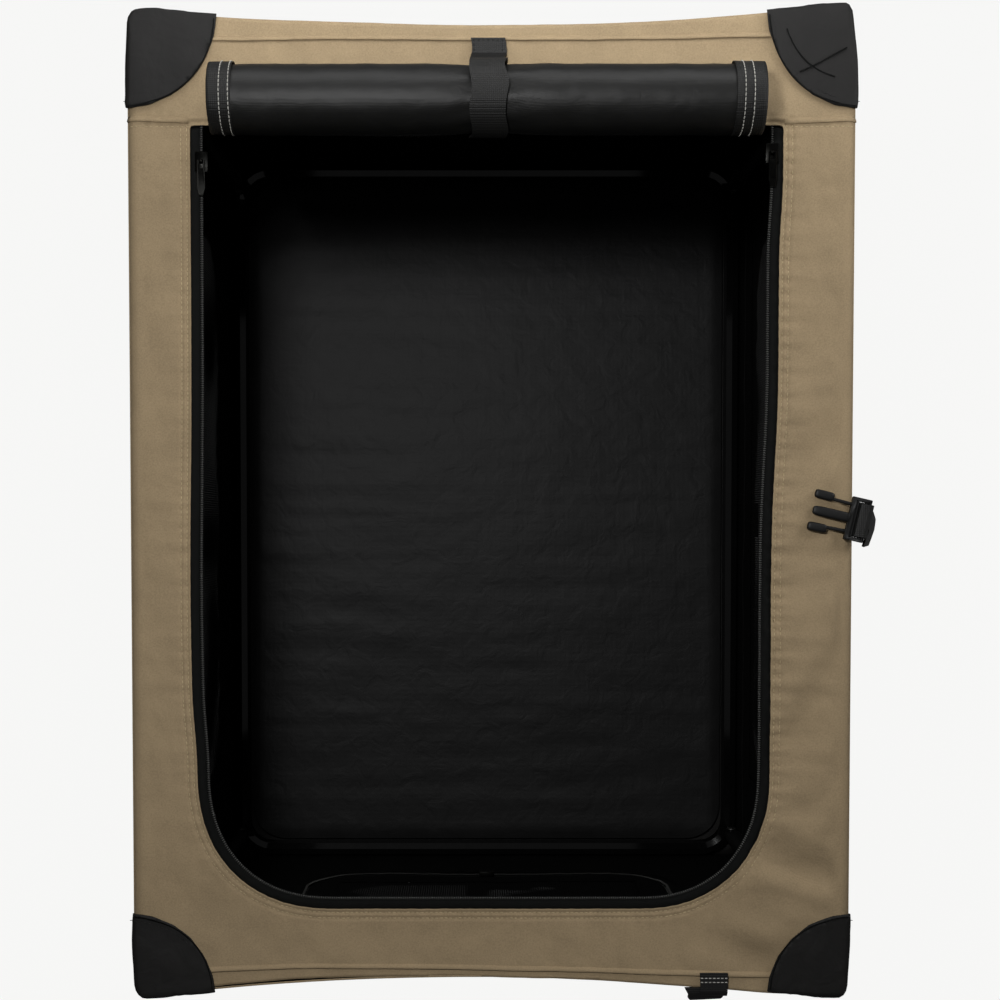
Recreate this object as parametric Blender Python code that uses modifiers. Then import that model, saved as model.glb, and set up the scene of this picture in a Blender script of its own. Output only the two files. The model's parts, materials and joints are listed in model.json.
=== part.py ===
"""Soft folding dog crate: a fabric box on a knee-hinged tube frame, its top door rolled open.

Metres, +Z up. The origin is the middle of the base's underside. +X is the crate's right side,
-Y its front, where the zipped door is. The side frames fold inward at their knees, and the top
comes straight down onto the base.
"""

import math

import bmesh
import bpy
from mathutils import Matrix, Vector

# The whole crate.
CRATE_WIDTH = 0.521
CRATE_LENGTH = 0.711
CRATE_HEIGHT = 0.521
FABRIC = 0.0020
CAP_FABRIC = 0.0015
SEAT_GAP = 0.0003
RUN_GAP = 0.0008
CUT_OVERRUN = 0.010
WALL_CUT = 0.040
WELD = 0.000001
ROUND_STEPS = 6
SHARP_DEGREES = 40

# How far the short edges pull in between the corners, at the top.
END_BOW = 0.0135
BOW_COLUMNS = 32
BOW_ROWS = 6
BOW_POWER = 2.2

# Steel tube frame.
TUBE_RADIUS = 0.0080
TUBE_SIDES = 12
DRILL_LENGTH = 4 * TUBE_RADIUS
RING_BEND = 0.030
HOOP_BEND = 0.030
BEND_STEPS = 6
HIP_HEIGHT = 0.0300
KNEE_OVER_CENTRE = 0.0020
TONGUE = 0.0050
EYE_RADIUS = 0.0060
TAPER_LENGTH = 0.018
TIP_DEGREES = (80, 55, 30, 0)
FLAT_SQUARENESS = 0.5
RIVET_RADIUS = 0.0025
RIVET_HEAD_RADIUS = 0.0048
RIVET_HEAD_HEIGHT = 0.0018
RIVET_STEPS = 12
RIVET_RIM_SHARE = 0.4
RIVET_SHOULDER_SHARE = 0.8
RIVET_CROWN_SHARE = 0.6
KNEE_WASHER = 0.0010
EAR = 0.0020
EAR_RADIUS = 0.0060
EAR_STEPS = 8
SLEEVE = 0.0012
SLEEVE_SET_BACK = 0.0334
SLEEVE_START_DEGREES = 120
SLEEVE_END_DEGREES = 330
SLEEVE_STEPS = 14

# Floor.
FLOOR_FABRIC = 0.0025
MAT_THICKNESS = 0.0080
MAT_CORNER = 0.036
SKIRT_TOP = 0.0420

# Corner caps.
REAR_CAP_REACH = (0.066, 0.074, 0.038)
FRONT_CAP_REACH = (0.061, 0.062, 0.038)
CAP_CELLS = 6
CAP_SEGMENTS = 24

# Top opening, its zip and its rolled door.
LEFT_BORDER = 0.0447
RIGHT_BORDER = 0.0517
NEAR_BORDER = 0.0627
FAR_BORDER = 0.0837
OPENING_CORNER = 0.100
CORNER_STEPS = 10
ZIP_TAPE_WIDTH = 0.0086
ZIP_TAPE = 0.0012
ROLL_RADIUS = 0.0255
ROLL_CORE = 0.0060
ROLL_TURNS = 4
ROLL_TURN_STEPS = 20
ROLL_SHEET_SHARE = 0.82
ROLL_LEFT_INSET = 0.0189
ROLL_RIGHT_INSET = 0.0160
ROLL_SET_BACK = 0.0123
WEBBING_WIDTH = 0.025
WEBBING = 0.0015
STRAP_MIDDLE_X = -0.0025
STRAP_FAR_BORDER = 0.0232
STRAP_START_DEGREES = 238
STRAP_END_DEGREES = -20
STRAP_STEPS = 24

# Side windows and the end walls' door and window.
WINDOW_END_BORDER = 0.1037
WINDOW_LOW = 0.100
WINDOW_TOP_BORDER = 0.0642
WINDOW_CORNER = 0.050
MESH = 0.0010
DOOR_SIDE_BORDER = 0.0807
DOOR_LOW = 0.100
DOOR_CORNER = 0.065
DOOR_BORDER = 0.045
DOOR_SEAM = 0.0015
BACK_WINDOW_SIDE_BORDER = 0.0987
BACK_WINDOW_LOW = 0.120
BACK_WINDOW_TOP_BORDER = 0.0792

# Zip sliders and their pulls.
SLIDER_WIDTH = 0.0090
SLIDER_LENGTH = 0.0140
SLIDER_WING = 0.0013
SLIDER_WEB = 0.0035
LEFT_PARK = 0.0260
RIGHT_PARK = 0.0200
LUG_WIDTH = 0.0020
LUG_RADIUS = 0.0015
PULL_WIDTH = 0.0058
PULL_LENGTH = 0.0240
PULL = 0.0012
PULL_FORK_DEPTH = 0.0050
PULL_BACK = 0.0008
PULL_TAPER_SHARE = 0.8
PULL_TIP_SHARE = 0.6

# Closure strap: the plug half on the top edge, the socket half at the base.
BUCKLE_Y = -0.0080
BUCKLE_TURN_DEGREES = -13.0
BUCKLE = 0.0050
PLUG_EDGE_BORDER = 0.0047
PLUG_BAR_LENGTH = 0.0260
PLUG_BAR_HALF = 0.0035
PLUG_ARM_INNER = 0.0085
PLUG_ARM_OUTER = 0.0110
PLUG_HEAD_BACK = 0.0135
PLUG_HEAD_TIP = 0.0270
PLUG_HEAD_OUTER = 0.0150
PLUG_HEAD_TAPER = 0.0030
PLUG_BODY_HALF = 0.0155
PLUG_BODY_LENGTH = 0.0140
PLUG_SLOT_START = 0.0050
PLUG_SLOT_END = 0.0100
TAIL_DROP = 0.0200
SOCKET_LENGTH = 0.0300
SOCKET_HALF_WIDTH = 0.0170
SOCKET_DEPTH = 0.0110
SOCKET_WALL = 0.0025
SOCKET_LOW = 0.0240
CLOSURE_STRAP_LOW = 0.0060

# Tie loop for the front door, on the near edge of the top.
TIE_SIDE_BORDER = 0.0877
TIE_WIDTH = 0.0200
TIE_REACH = 0.0142
TIE_STAND_OUT = 0.0052
TIE_DROP = 0.0120

# Planes that follow from the sizes above.
COVER_X = CRATE_WIDTH / 2 - CAP_FABRIC - SEAT_GAP
COVER_Y = CRATE_LENGTH / 2 - CAP_FABRIC - SEAT_GAP
COVER_Z = CRATE_HEIGHT - CAP_FABRIC - SEAT_GAP
INNER_X = COVER_X - FABRIC
INNER_Y = COVER_Y - FABRIC
INNER_Z = COVER_Z - FABRIC
FRAME_X = INNER_X - SEAT_GAP - TUBE_RADIUS
FRAME_Y = INNER_Y - SEAT_GAP - TUBE_RADIUS
BAR_HEIGHT = INNER_Z - SEAT_GAP - TUBE_RADIUS
RING_HEIGHT = FLOOR_FABRIC + SEAT_GAP + TUBE_RADIUS
KNEE_HEIGHT = (HIP_HEIGHT + BAR_HEIGHT) / 2
KNEE_X = FRAME_X + KNEE_OVER_CENTRE
LOWER_Y = FRAME_Y - 2 * TUBE_RADIUS - 2 * SEAT_GAP - KNEE_WASHER
FLOOR_TOP = FLOOR_FABRIC + SEAT_GAP
BOW_HALF_WIDTH = FRAME_X - TUBE_RADIUS - SEAT_GAP
SLEEVE_LENGTH = 2 * (FRAME_Y - HOOP_BEND - SLEEVE_SET_BACK)
OPENING_LEFT = LEFT_BORDER - COVER_X
OPENING_RIGHT = COVER_X - RIGHT_BORDER
OPENING_NEAR = NEAR_BORDER - COVER_Y
OPENING_FAR = COVER_Y - FAR_BORDER
ROLL_LEFT = OPENING_LEFT + ROLL_LEFT_INSET
ROLL_RIGHT = OPENING_RIGHT - ROLL_RIGHT_INSET
ROLL_MIDDLE_Y = OPENING_FAR + ROLL_SET_BACK
ROLL_MIDDLE_Z = COVER_Z + SEAT_GAP + ROLL_RADIUS
STRAP_FAR_Y = COVER_Y - STRAP_FAR_BORDER
WINDOW_HALF_LENGTH = COVER_Y - WINDOW_END_BORDER
WINDOW_HIGH = COVER_Z - WINDOW_TOP_BORDER
DOOR_HALF_WIDTH = COVER_X - DOOR_SIDE_BORDER
DOOR_HIGH = WINDOW_HIGH
BACK_WINDOW_HALF_WIDTH = COVER_X - BACK_WINDOW_SIDE_BORDER
BACK_WINDOW_HIGH = COVER_Z - BACK_WINDOW_TOP_BORDER
SLIDER_PARK_LEFT_Y = OPENING_FAR - LEFT_PARK
SLIDER_PARK_RIGHT_Y = OPENING_FAR - RIGHT_PARK
PLUG_FRONT_X = COVER_X - PLUG_EDGE_BORDER
PLUG_LOW = COVER_Z + 2 * SEAT_GAP + WEBBING
TIE_RIGHT = COVER_X - TIE_SIDE_BORDER
TIE_LEFT = TIE_RIGHT - TIE_WIDTH
TIE_FAR_Y = TIE_REACH - COVER_Y
AXES = {"X": Vector((1, 0, 0)), "Y": Vector((0, 1, 0)), "Z": Vector((0, 0, 1))}
PLANE_TURNS = {
    "X": Matrix(((0, 0, 1), (1, 0, 0), (0, 1, 0))),
    "Y": Matrix(((1, 0, 0), (0, 0, -1), (0, 1, 0))),
    "Z": Matrix.Identity(3),
}


def clear_scene():
    for obj in list(bpy.data.objects):
        bpy.data.objects.remove(obj, do_unlink=True)


def new_collection(name, hidden=False):
    collection = bpy.data.collections.new(name)
    bpy.context.scene.collection.children.link(collection)
    collection.hide_render = hidden
    return collection


def new_material(name, colour, roughness, metallic=0.0):
    material = bpy.data.materials.new(name)
    material.use_nodes = True
    shader = material.node_tree.nodes["Principled BSDF"]
    shader.inputs["Base Color"].default_value = (*colour, 1.0)
    shader.inputs["Roughness"].default_value = roughness
    shader.inputs["Metallic"].default_value = metallic
    return material


def mesh_object(name, mesh):
    obj = bpy.data.objects.new(name, mesh)
    crate_parts.objects.link(obj)
    return obj


def object_from_bmesh(name, shape):
    bmesh.ops.recalc_face_normals(shape, faces=shape.faces)
    mesh = bpy.data.meshes.new(name)
    shape.to_mesh(mesh)
    shape.free()
    return mesh_object(name, mesh)


def made_mesh(obj, name=None):
    """The object's evaluated shape as a plain mesh in world space, with loose caps welded."""
    bpy.context.view_layer.update()
    graph = bpy.context.evaluated_depsgraph_get()
    mesh = bpy.data.meshes.new_from_object(obj.evaluated_get(graph))
    mesh.transform(obj.matrix_world)
    shape = bmesh.new()
    shape.from_mesh(mesh)
    bmesh.ops.remove_doubles(shape, verts=shape.verts, dist=WELD)
    bmesh.ops.recalc_face_normals(shape, faces=shape.faces)
    shape.to_mesh(mesh)
    shape.free()
    name = name or obj.name
    bpy.data.objects.remove(obj, do_unlink=True)
    mesh.name = name
    return mesh_object(name, mesh)


def combined(target, tool, operation):
    """The target after one Boolean with the tool, which is used up."""
    name = target.name
    crate_parts.objects.unlink(tool)
    cutters.objects.link(tool)
    tool.hide_render = True
    tool.display_type = "WIRE"
    modifier = target.modifiers.new(operation.lower(), "BOOLEAN")
    modifier.operation = operation
    modifier.solver = "EXACT"
    modifier.object = tool
    result = made_mesh(target, name)
    bpy.data.objects.remove(tool, do_unlink=True)
    result.name = name
    return result


def mirrored(source, name, *axes):
    mesh = source.data.copy()
    for axis in axes:
        mesh.transform(Matrix.Scale(-1, 4, AXES[axis]))
        mesh.flip_normals()
    mesh.name = name
    return mesh_object(name, mesh)


def plate(name, loops, axis, low, high):
    """Flat outlines, the first one outside and the rest holes, pulled along an axis."""
    curve = bpy.data.curves.new(name, "CURVE")
    curve.dimensions = "2D"
    curve.fill_mode = "BOTH"
    curve.extrude = (high - low) / 2
    for loop in loops:
        spline = curve.splines.new("POLY")
        spline.points.add(len(loop) - 1)
        for point, (u, v) in zip(spline.points, loop):
            point.co = (u, v, 0, 1)
        spline.use_cyclic_u = True
    obj = bpy.data.objects.new(name, curve)
    crate_parts.objects.link(obj)
    obj.matrix_world = Matrix.Translation(AXES[axis] * (low + high) / 2) @ PLANE_TURNS[axis].to_4x4()
    return made_mesh(obj)


def box(name, low, high):
    shape = bmesh.new()
    bmesh.ops.create_cube(shape, size=1)
    low, high = Vector(low), Vector(high)
    size = high - low
    bmesh.ops.scale(shape, vec=size, verts=shape.verts)
    bmesh.ops.translate(shape, vec=(low + high) / 2, verts=shape.verts)
    return object_from_bmesh(name, shape)


def rod(name, radius, axis, middle, length):
    shape = bmesh.new()
    bmesh.ops.create_cone(
        shape, cap_ends=True, segments=RIVET_STEPS, radius1=radius, radius2=radius, depth=length
    )
    turn = AXES["Z"].rotation_difference(AXES[axis]).to_matrix().to_4x4()
    bmesh.ops.transform(shape, matrix=Matrix.Translation(middle) @ turn, verts=shape.verts)
    return object_from_bmesh(name, shape)


def turned(name, profile, axis, middle):
    """A profile of (radius, height) points, top to bottom, spun round an axis."""
    mesh = bpy.data.meshes.new(name)
    points = [(radius, 0, height) for radius, height in profile]
    mesh.from_pydata(points, [(i, i + 1) for i in range(len(points) - 1)], [])
    obj = mesh_object(name, mesh)
    screw = obj.modifiers.new("turn", "SCREW")
    screw.steps = RIVET_STEPS
    screw.render_steps = RIVET_STEPS
    screw.use_merge_vertices = True
    screw.merge_threshold = 0.0001
    turn = AXES["Z"].rotation_difference(AXES[axis]).to_matrix().to_4x4()
    obj.matrix_world = Matrix.Translation(middle) @ turn
    return made_mesh(obj)


def rivet(name, middle, grip, collar=0.0):
    """A dome-headed rivet along Y that holds a stack of this thickness, with a spacer inside it."""
    half = grip / 2 + SEAT_GAP
    rim = half + RIVET_HEAD_HEIGHT * RIVET_RIM_SHARE
    shoulder = half + RIVET_HEAD_HEIGHT * RIVET_SHOULDER_SHARE
    upper = [(0, half + RIVET_HEAD_HEIGHT), (RIVET_HEAD_RADIUS * RIVET_CROWN_SHARE, shoulder)]
    upper += [(RIVET_HEAD_RADIUS, rim), (RIVET_HEAD_RADIUS, half), (RIVET_RADIUS, half)]
    if collar:
        upper += [(RIVET_RADIUS, collar / 2), (RIVET_HEAD_RADIUS, collar / 2)]
    lower = [(radius, -height) for radius, height in reversed(upper)]
    return turned(name, upper + lower, "Y", middle)


def arc(centre, radius, start, end, steps):
    """Points on an arc, its angles in degrees."""
    points = []
    for i in range(steps + 1):
        angle = math.radians(start + (end - start) * i / steps)
        points.append((centre[0] + radius * math.cos(angle), centre[1] + radius * math.sin(angle)))
    return points


def rounded_rectangle(left, right, low, high, radius, steps=ROUND_STEPS):
    return (
        arc((right - radius, low + radius), radius, -90, 0, steps)
        + arc((right - radius, high - radius), radius, 0, 90, steps)
        + arc((left + radius, high - radius), radius, 90, 180, steps)
        + arc((left + radius, low + radius), radius, 180, 270, steps)
    )


def u_outline(left, right, low, high, corner, inset=0.0):
    """An open U: down the left side, round two corners and up the right side."""
    radius = corner - inset
    left, right, low = left + inset, right - inset, low + inset
    points = [(left, high)]
    points += arc((left + radius, low + radius), radius, 180, 270, CORNER_STEPS)
    points += arc((right - radius, low + radius), radius, 270, 360, CORNER_STEPS)
    return points + [(right, high)]


def bow(x, z):
    """How far an end wall has come in towards the middle at this place."""
    across = min(1.0, abs(x) / BOW_HALF_WIDTH)
    return END_BOW * (1 - across**BOW_POWER) * max(0.0, z) / CRATE_HEIGHT


def bow_column(x, spacing=2 * COVER_X / BOW_COLUMNS):
    """Moves the column next to the bow's end onto it, so that the outer strip stays flat."""
    near = abs(abs(x) - BOW_HALF_WIDTH) < spacing / 2
    return math.copysign(BOW_HALF_WIDTH, x) if near else x


def bowed(obj):
    for vertex in obj.data.vertices:
        side = 1 if vertex.co.y > 0 else -1
        vertex.co.y -= side * bow(vertex.co.x, vertex.co.z)
    return obj


def end_slab(name, side, outer_y, thickness, low, high, half_width):
    """A sheet that follows an end wall's bowed face."""
    shape = bmesh.new()
    bmesh.ops.create_grid(shape, x_segments=BOW_COLUMNS, y_segments=BOW_ROWS, size=1)
    for vertex in shape.verts:
        x = bow_column(vertex.co.x * half_width)
        z = (low + high) / 2 + (high - low) / 2 * vertex.co.y
        vertex.co = (x, side * (outer_y - bow(x, z)), z)
    obj = object_from_bmesh(name, shape)
    faces_out = obj.data.polygons[0].normal.y * side > 0
    wall = obj.modifiers.new("thickness", "SOLIDIFY")
    wall.thickness = thickness
    wall.offset = -1 if faces_out else 1
    return made_mesh(obj)


def swept(name, rings):
    """A skin over rings of points, closed at both ends."""
    shape = bmesh.new()
    loops = [[shape.verts.new(point) for point in ring] for ring in rings]
    for first, second in zip(loops, loops[1:]):
        for i in range(len(first)):
            j = (i + 1) % len(first)
            shape.faces.new((first[i], first[j], second[j], second[i]))
    shape.faces.new(list(reversed(loops[0])))
    shape.faces.new(loops[-1])
    return object_from_bmesh(name, shape)


def section(point, tangent, half_across, half_thick, shift_across, shift_thick, squareness):
    """One ring round a tube or its flattened end. Across is +X, thick is in the tube's plane."""
    across = AXES["X"]
    thick = across.cross(tangent)
    centre = Vector(point) + across * shift_across + thick * shift_thick
    ring = []
    for i in range(TUBE_SIDES):
        angle = 2 * math.pi * (i + 0.5) / TUBE_SIDES
        c, s = math.cos(angle), math.sin(angle)
        c = math.copysign(abs(c) ** squareness, c)
        s = math.copysign(abs(s) ** squareness, s)
        ring.append(centre + across * half_across * c + thick * half_thick * s)
    return ring


def flat_end(eye, tangent, shift_across, shift_thick):
    """Sections from a flattened tube end's round tip, past its eye, to the full tube."""
    rings = []
    for degrees in TIP_DEGREES:
        back = EYE_RADIUS * math.sin(math.radians(degrees))
        width = EYE_RADIUS * math.cos(math.radians(degrees))
        place = Vector(eye) - tangent * back
        rings.append(section(place, tangent, width, TONGUE / 2, shift_across, shift_thick, FLAT_SQUARENESS))
    place = Vector(eye) + tangent * EYE_RADIUS
    rings.append(section(place, tangent, EYE_RADIUS, TONGUE / 2, shift_across, shift_thick, FLAT_SQUARENESS))
    place = Vector(eye) + tangent * (EYE_RADIUS + TAPER_LENGTH)
    rings.append(section(place, tangent, TUBE_RADIUS, TUBE_RADIUS, 0, 0, 1.0))
    return rings


def drilled(obj, axis, middle, radius, length):
    return combined(obj, rod("drill", radius, axis, middle, length), "DIFFERENCE")


def lower_post(name, side_y):
    """A right lower post: hip eye in its middle plane, knee eye on its outboard side."""
    up = AXES["Z"]
    hip = Vector((FRAME_X, side_y * LOWER_Y, HIP_HEIGHT))
    knee = Vector((FRAME_X, side_y * LOWER_Y, KNEE_HEIGHT))
    rings = flat_end(hip, up, 0, 0)
    top = flat_end(knee, -up, KNEE_OVER_CENTRE, side_y * (TUBE_RADIUS - TONGUE / 2))
    rings += [ring[::-1] for ring in reversed(top)]
    post = swept(name, rings)
    hole = RIVET_RADIUS + SEAT_GAP
    post = drilled(post, "Y", hip, hole, DRILL_LENGTH)
    knee.x = KNEE_X
    return drilled(post, "Y", knee, hole, DRILL_LENGTH)


def upper_hoop(name):
    """The right side's upper frame: two posts and the long top bar, in one bent tube."""
    high = BAR_HEIGHT - HOOP_BEND
    path = arc((-FRAME_Y + HOOP_BEND, high), HOOP_BEND, 180, 90, BEND_STEPS)
    path += arc((FRAME_Y - HOOP_BEND, high), HOOP_BEND, 90, 0, BEND_STEPS)
    knees = [(-FRAME_Y, KNEE_HEIGHT), (FRAME_Y, KNEE_HEIGHT)]
    line = [Vector((FRAME_X, y, z)) for y, z in knees[:1] + path + knees[1:]]
    front = flat_end(line[0], AXES["Z"], KNEE_OVER_CENTRE, TONGUE / 2 - TUBE_RADIUS)
    rings = list(front)
    for before, place, after in zip(line, line[1:], line[2:]):
        tangent = ((place - before).normalized() + (after - place).normalized()).normalized()
        rings.append(section(place, tangent, TUBE_RADIUS, TUBE_RADIUS, 0, 0, 1.0))
    rings += [[Vector((p.x, -p.y, p.z)) for p in ring] for ring in reversed(front)]
    hoop = swept(name, rings)
    for y, z in knees:
        hoop = drilled(hoop, "Y", Vector((KNEE_X, y, z)), RIVET_RADIUS + SEAT_GAP, DRILL_LENGTH)
    return hoop


def tube_ring(name):
    """The base's closed tube."""
    curve = bpy.data.curves.new(name, "CURVE")
    curve.dimensions = "3D"
    curve.bevel_depth = TUBE_RADIUS
    curve.bevel_resolution = 2
    outline = rounded_rectangle(-FRAME_X, FRAME_X, -FRAME_Y, FRAME_Y, RING_BEND, BEND_STEPS)
    spline = curve.splines.new("POLY")
    spline.points.add(len(outline) - 1)
    for point, (x, y) in zip(spline.points, outline):
        point.co = (x, y, RING_HEIGHT, 1)
    spline.use_cyclic_u = True
    obj = bpy.data.objects.new(name, curve)
    crate_parts.objects.link(obj)
    return made_mesh(obj)


def hip_bracket(side_x, side_y):
    """Two ears that rise from the base tube, with the post's foot between them."""
    x = side_x * FRAME_X
    y = side_y * LOWER_Y
    outline = arc((x, HIP_HEIGHT), EAR_RADIUS, 0, 180, EAR_STEPS)
    outline += [(x - EAR_RADIUS, RING_HEIGHT), (x + EAR_RADIUS, RING_HEIGHT)]
    half = TONGUE / 2 + SEAT_GAP + EAR
    bracket = plate("bracket", [outline], "Y", y - half, y + half)
    slot_half = TONGUE / 2 + SEAT_GAP
    low = (x - TUBE_RADIUS - CUT_OVERRUN, y - slot_half, HIP_HEIGHT - EYE_RADIUS - RUN_GAP)
    high = (x + TUBE_RADIUS + CUT_OVERRUN, y + slot_half, HIP_HEIGHT + EAR_RADIUS + CUT_OVERRUN)
    bracket = combined(bracket, box("slot", low, high), "DIFFERENCE")
    place = Vector((x, y, HIP_HEIGHT))
    return drilled(bracket, "Y", place, RIVET_RADIUS + SEAT_GAP, DRILL_LENGTH)


def base_frame():
    """The base's tube ring with its four hip brackets welded on."""
    frame = tube_ring("base_ring")
    for side_x in (-1, 1):
        for side_y in (-1, 1):
            frame = combined(frame, hip_bracket(side_x, side_y), "UNION")
    return frame


def bowed_block(name, low, high):
    """A box in small cells, so that its end face can follow the bow."""
    shape = bmesh.new()
    bmesh.ops.create_cube(shape, size=1)
    bmesh.ops.subdivide_edges(shape, edges=shape.edges, cuts=CAP_CELLS, use_grid_fill=True)
    low, high = Vector(low), Vector(high)
    bmesh.ops.scale(shape, vec=high - low, verts=shape.verts)
    bmesh.ops.translate(shape, vec=(low + high) / 2, verts=shape.verts)
    for vertex in shape.verts:
        vertex.co.x = bow_column(vertex.co.x, (high.x - low.x) / CAP_CELLS)
    return bowed(object_from_bmesh(name, shape))


def corner_cap(name, at_top, reach):
    """A right rear corner cap: a thin box corner cut to a round outline on each face."""
    half_x, half_y = CRATE_WIDTH / 2, CRATE_LENGTH / 2
    level = CRATE_HEIGHT if at_top else 0.0
    reach_x, reach_y = reach[0] + CUT_OVERRUN, reach[1] + CUT_OVERRUN
    inner_x, inner_y = half_x - CAP_FABRIC, half_y - CAP_FABRIC
    if at_top:
        low_z, high_z = level - reach[2] - CUT_OVERRUN, level
        hollow_low, hollow_high = low_z - CUT_OVERRUN, level - CAP_FABRIC
    else:
        low_z, high_z = 0.0, reach[2] + CUT_OVERRUN
        hollow_low, hollow_high = -CUT_OVERRUN, high_z + CUT_OVERRUN
    cap = bowed_block(name, (half_x - reach_x, half_y - reach_y, low_z), (half_x, half_y, high_z))
    low = (inner_x - reach_x, inner_y - reach_y, hollow_low)
    cap = combined(cap, bowed_block("hollow", low, (inner_x, inner_y, hollow_high)), "DIFFERENCE")
    ball = bmesh.new()
    bmesh.ops.create_uvsphere(ball, u_segments=CAP_SEGMENTS, v_segments=CAP_SEGMENTS // 2, radius=1)
    bmesh.ops.scale(ball, vec=reach, verts=ball.verts)
    bmesh.ops.translate(ball, vec=(half_x, half_y, level), verts=ball.verts)
    return combined(cap, object_from_bmesh("reach", ball), "INTERSECT")


def top_panel():
    """The top's fabric, its short edges bowed in, with the door's opening."""
    outline = []
    for side in (-1, 1):
        for i in range(BOW_COLUMNS + 1):
            x = bow_column(side * COVER_X * (2 * i / BOW_COLUMNS - 1))
            outline.append((x, side * (COVER_Y - bow(x, COVER_Z))))
    opening = u_outline(OPENING_LEFT, OPENING_RIGHT, OPENING_NEAR, OPENING_FAR, OPENING_CORNER)
    return plate("top_panel", [outline, opening], "Z", INNER_Z, COVER_Z)


def zip_band(name, left, right, low, high, corner, axis, band_low, band_high):
    """A U of zip tape just inside an opening's edge."""
    outer = u_outline(left, right, low, high, corner, SEAT_GAP)
    inner = u_outline(left, right, low, high, corner, SEAT_GAP + ZIP_TAPE_WIDTH)
    return plate(name, [outer + inner[::-1]], axis, band_low, band_high)


def door_roll():
    """The top door wound up on itself, lying on the far border."""
    pitch = (ROLL_RADIUS - ROLL_CORE) / ROLL_TURNS
    thickness = pitch * ROLL_SHEET_SHARE
    count = ROLL_TURNS * ROLL_TURN_STEPS
    outer, inner = [], []
    for i in range(count + 1):
        turn = i / ROLL_TURN_STEPS
        angle = -math.pi / 2 - 2 * math.pi * (ROLL_TURNS - turn)
        radius = ROLL_CORE + pitch * turn
        for points, at in ((outer, radius), (inner, radius - thickness)):
            points.append((ROLL_MIDDLE_Y + at * math.cos(angle), ROLL_MIDDLE_Z + at * math.sin(angle)))
    return plate("top_door_roll", [outer + inner[::-1]], "X", ROLL_LEFT, ROLL_RIGHT)


def roll_strap():
    """Webbing over the rolled door, from the far seam round to the roll's underside."""
    inside = ROLL_RADIUS + SEAT_GAP
    outside = inside + WEBBING
    centre = (ROLL_MIDDLE_Y, ROLL_MIDDLE_Z)
    low = COVER_Z + SEAT_GAP
    over = arc(centre, outside, STRAP_START_DEGREES, STRAP_END_DEGREES, STRAP_STEPS)
    under = arc(centre, inside, STRAP_END_DEGREES, STRAP_START_DEGREES, STRAP_STEPS)
    end = [(ROLL_MIDDLE_Y + outside, low + WEBBING), (STRAP_FAR_Y, low + WEBBING), (STRAP_FAR_Y, low)]
    back = [(ROLL_MIDDLE_Y + inside, low)]
    outline = over + end + back + under
    half = WEBBING_WIDTH / 2
    return plate("roll_strap", [outline], "X", STRAP_MIDDLE_X - half, STRAP_MIDDLE_X + half)


def side_panel(name, low, high, opens_up):
    """Half of a side wall, with half of its window cut from the edge at the knee."""
    half = INNER_Y - SEAT_GAP
    window = WINDOW_HALF_LENGTH
    r = WINDOW_CORNER
    if opens_up:
        outline = [(half, low), (half, high), (window, high)]
        outline += arc((window - r, WINDOW_LOW + r), r, 0, -90, ROUND_STEPS)
        outline += arc((r - window, WINDOW_LOW + r), r, 270, 180, ROUND_STEPS)
        outline += [(-window, high), (-half, high), (-half, low)]
    else:
        outline = [(half, high), (half, low), (window, low)]
        outline += arc((window - r, WINDOW_HIGH - r), r, 0, 90, ROUND_STEPS)
        outline += arc((r - window, WINDOW_HIGH - r), r, 90, 180, ROUND_STEPS)
        outline += [(-window, low), (-half, low), (-half, high)]
    return plate(name, [outline], "X", INNER_X, COVER_X)


def side_window(name, edge, opens_up):
    """The mesh that fills half of a side window."""
    window = WINDOW_HALF_LENGTH - SEAT_GAP
    r = WINDOW_CORNER - SEAT_GAP
    if opens_up:
        low = WINDOW_LOW + SEAT_GAP
        outline = [(window, edge)] + arc((window - r, low + r), r, 0, -90, ROUND_STEPS)
        outline += arc((r - window, low + r), r, 270, 180, ROUND_STEPS) + [(-window, edge)]
    else:
        high = WINDOW_HIGH - SEAT_GAP
        outline = [(window, edge)] + arc((window - r, high - r), r, 0, 90, ROUND_STEPS)
        outline += arc((r - window, high - r), r, 90, 180, ROUND_STEPS) + [(-window, edge)]
    middle = (INNER_X + COVER_X) / 2
    return plate(name, [outline], "X", middle - MESH / 2, middle + MESH / 2)


def bar_sleeve(name):
    """The fabric sleeve under the top that the right top bar turns in."""
    inner = TUBE_RADIUS + SEAT_GAP
    outer = inner + SLEEVE
    centre = (FRAME_X, BAR_HEIGHT)
    outline = arc(centre, outer, SLEEVE_START_DEGREES, SLEEVE_END_DEGREES, SLEEVE_STEPS)
    outline += arc(centre, inner, SLEEVE_END_DEGREES, SLEEVE_START_DEGREES, SLEEVE_STEPS)
    sleeve = plate(name, [outline], "Y", -SLEEVE_LENGTH / 2, SLEEVE_LENGTH / 2)
    low = (0, -SLEEVE_LENGTH, INNER_Z - SEAT_GAP)
    high = (CRATE_WIDTH, SLEEVE_LENGTH, CRATE_HEIGHT + CUT_OVERRUN)
    sleeve = combined(sleeve, box("above", low, high), "DIFFERENCE")
    low = (INNER_X - SEAT_GAP, -SLEEVE_LENGTH, 0)
    high = (CRATE_WIDTH, SLEEVE_LENGTH, CRATE_HEIGHT + CUT_OVERRUN)
    return combined(sleeve, box("beside", low, high), "DIFFERENCE")


def set_in(obj, name, place, x_axis, y_axis, z_axis):
    """Turns a piece to these axes and moves it to its place."""
    frame = Matrix((x_axis, y_axis, z_axis)).transposed().to_4x4()
    obj.data.transform(Matrix.Translation(place) @ frame)
    if frame.determinant() < 0:
        obj.data.flip_normals()
    obj.name = name
    return obj


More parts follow.
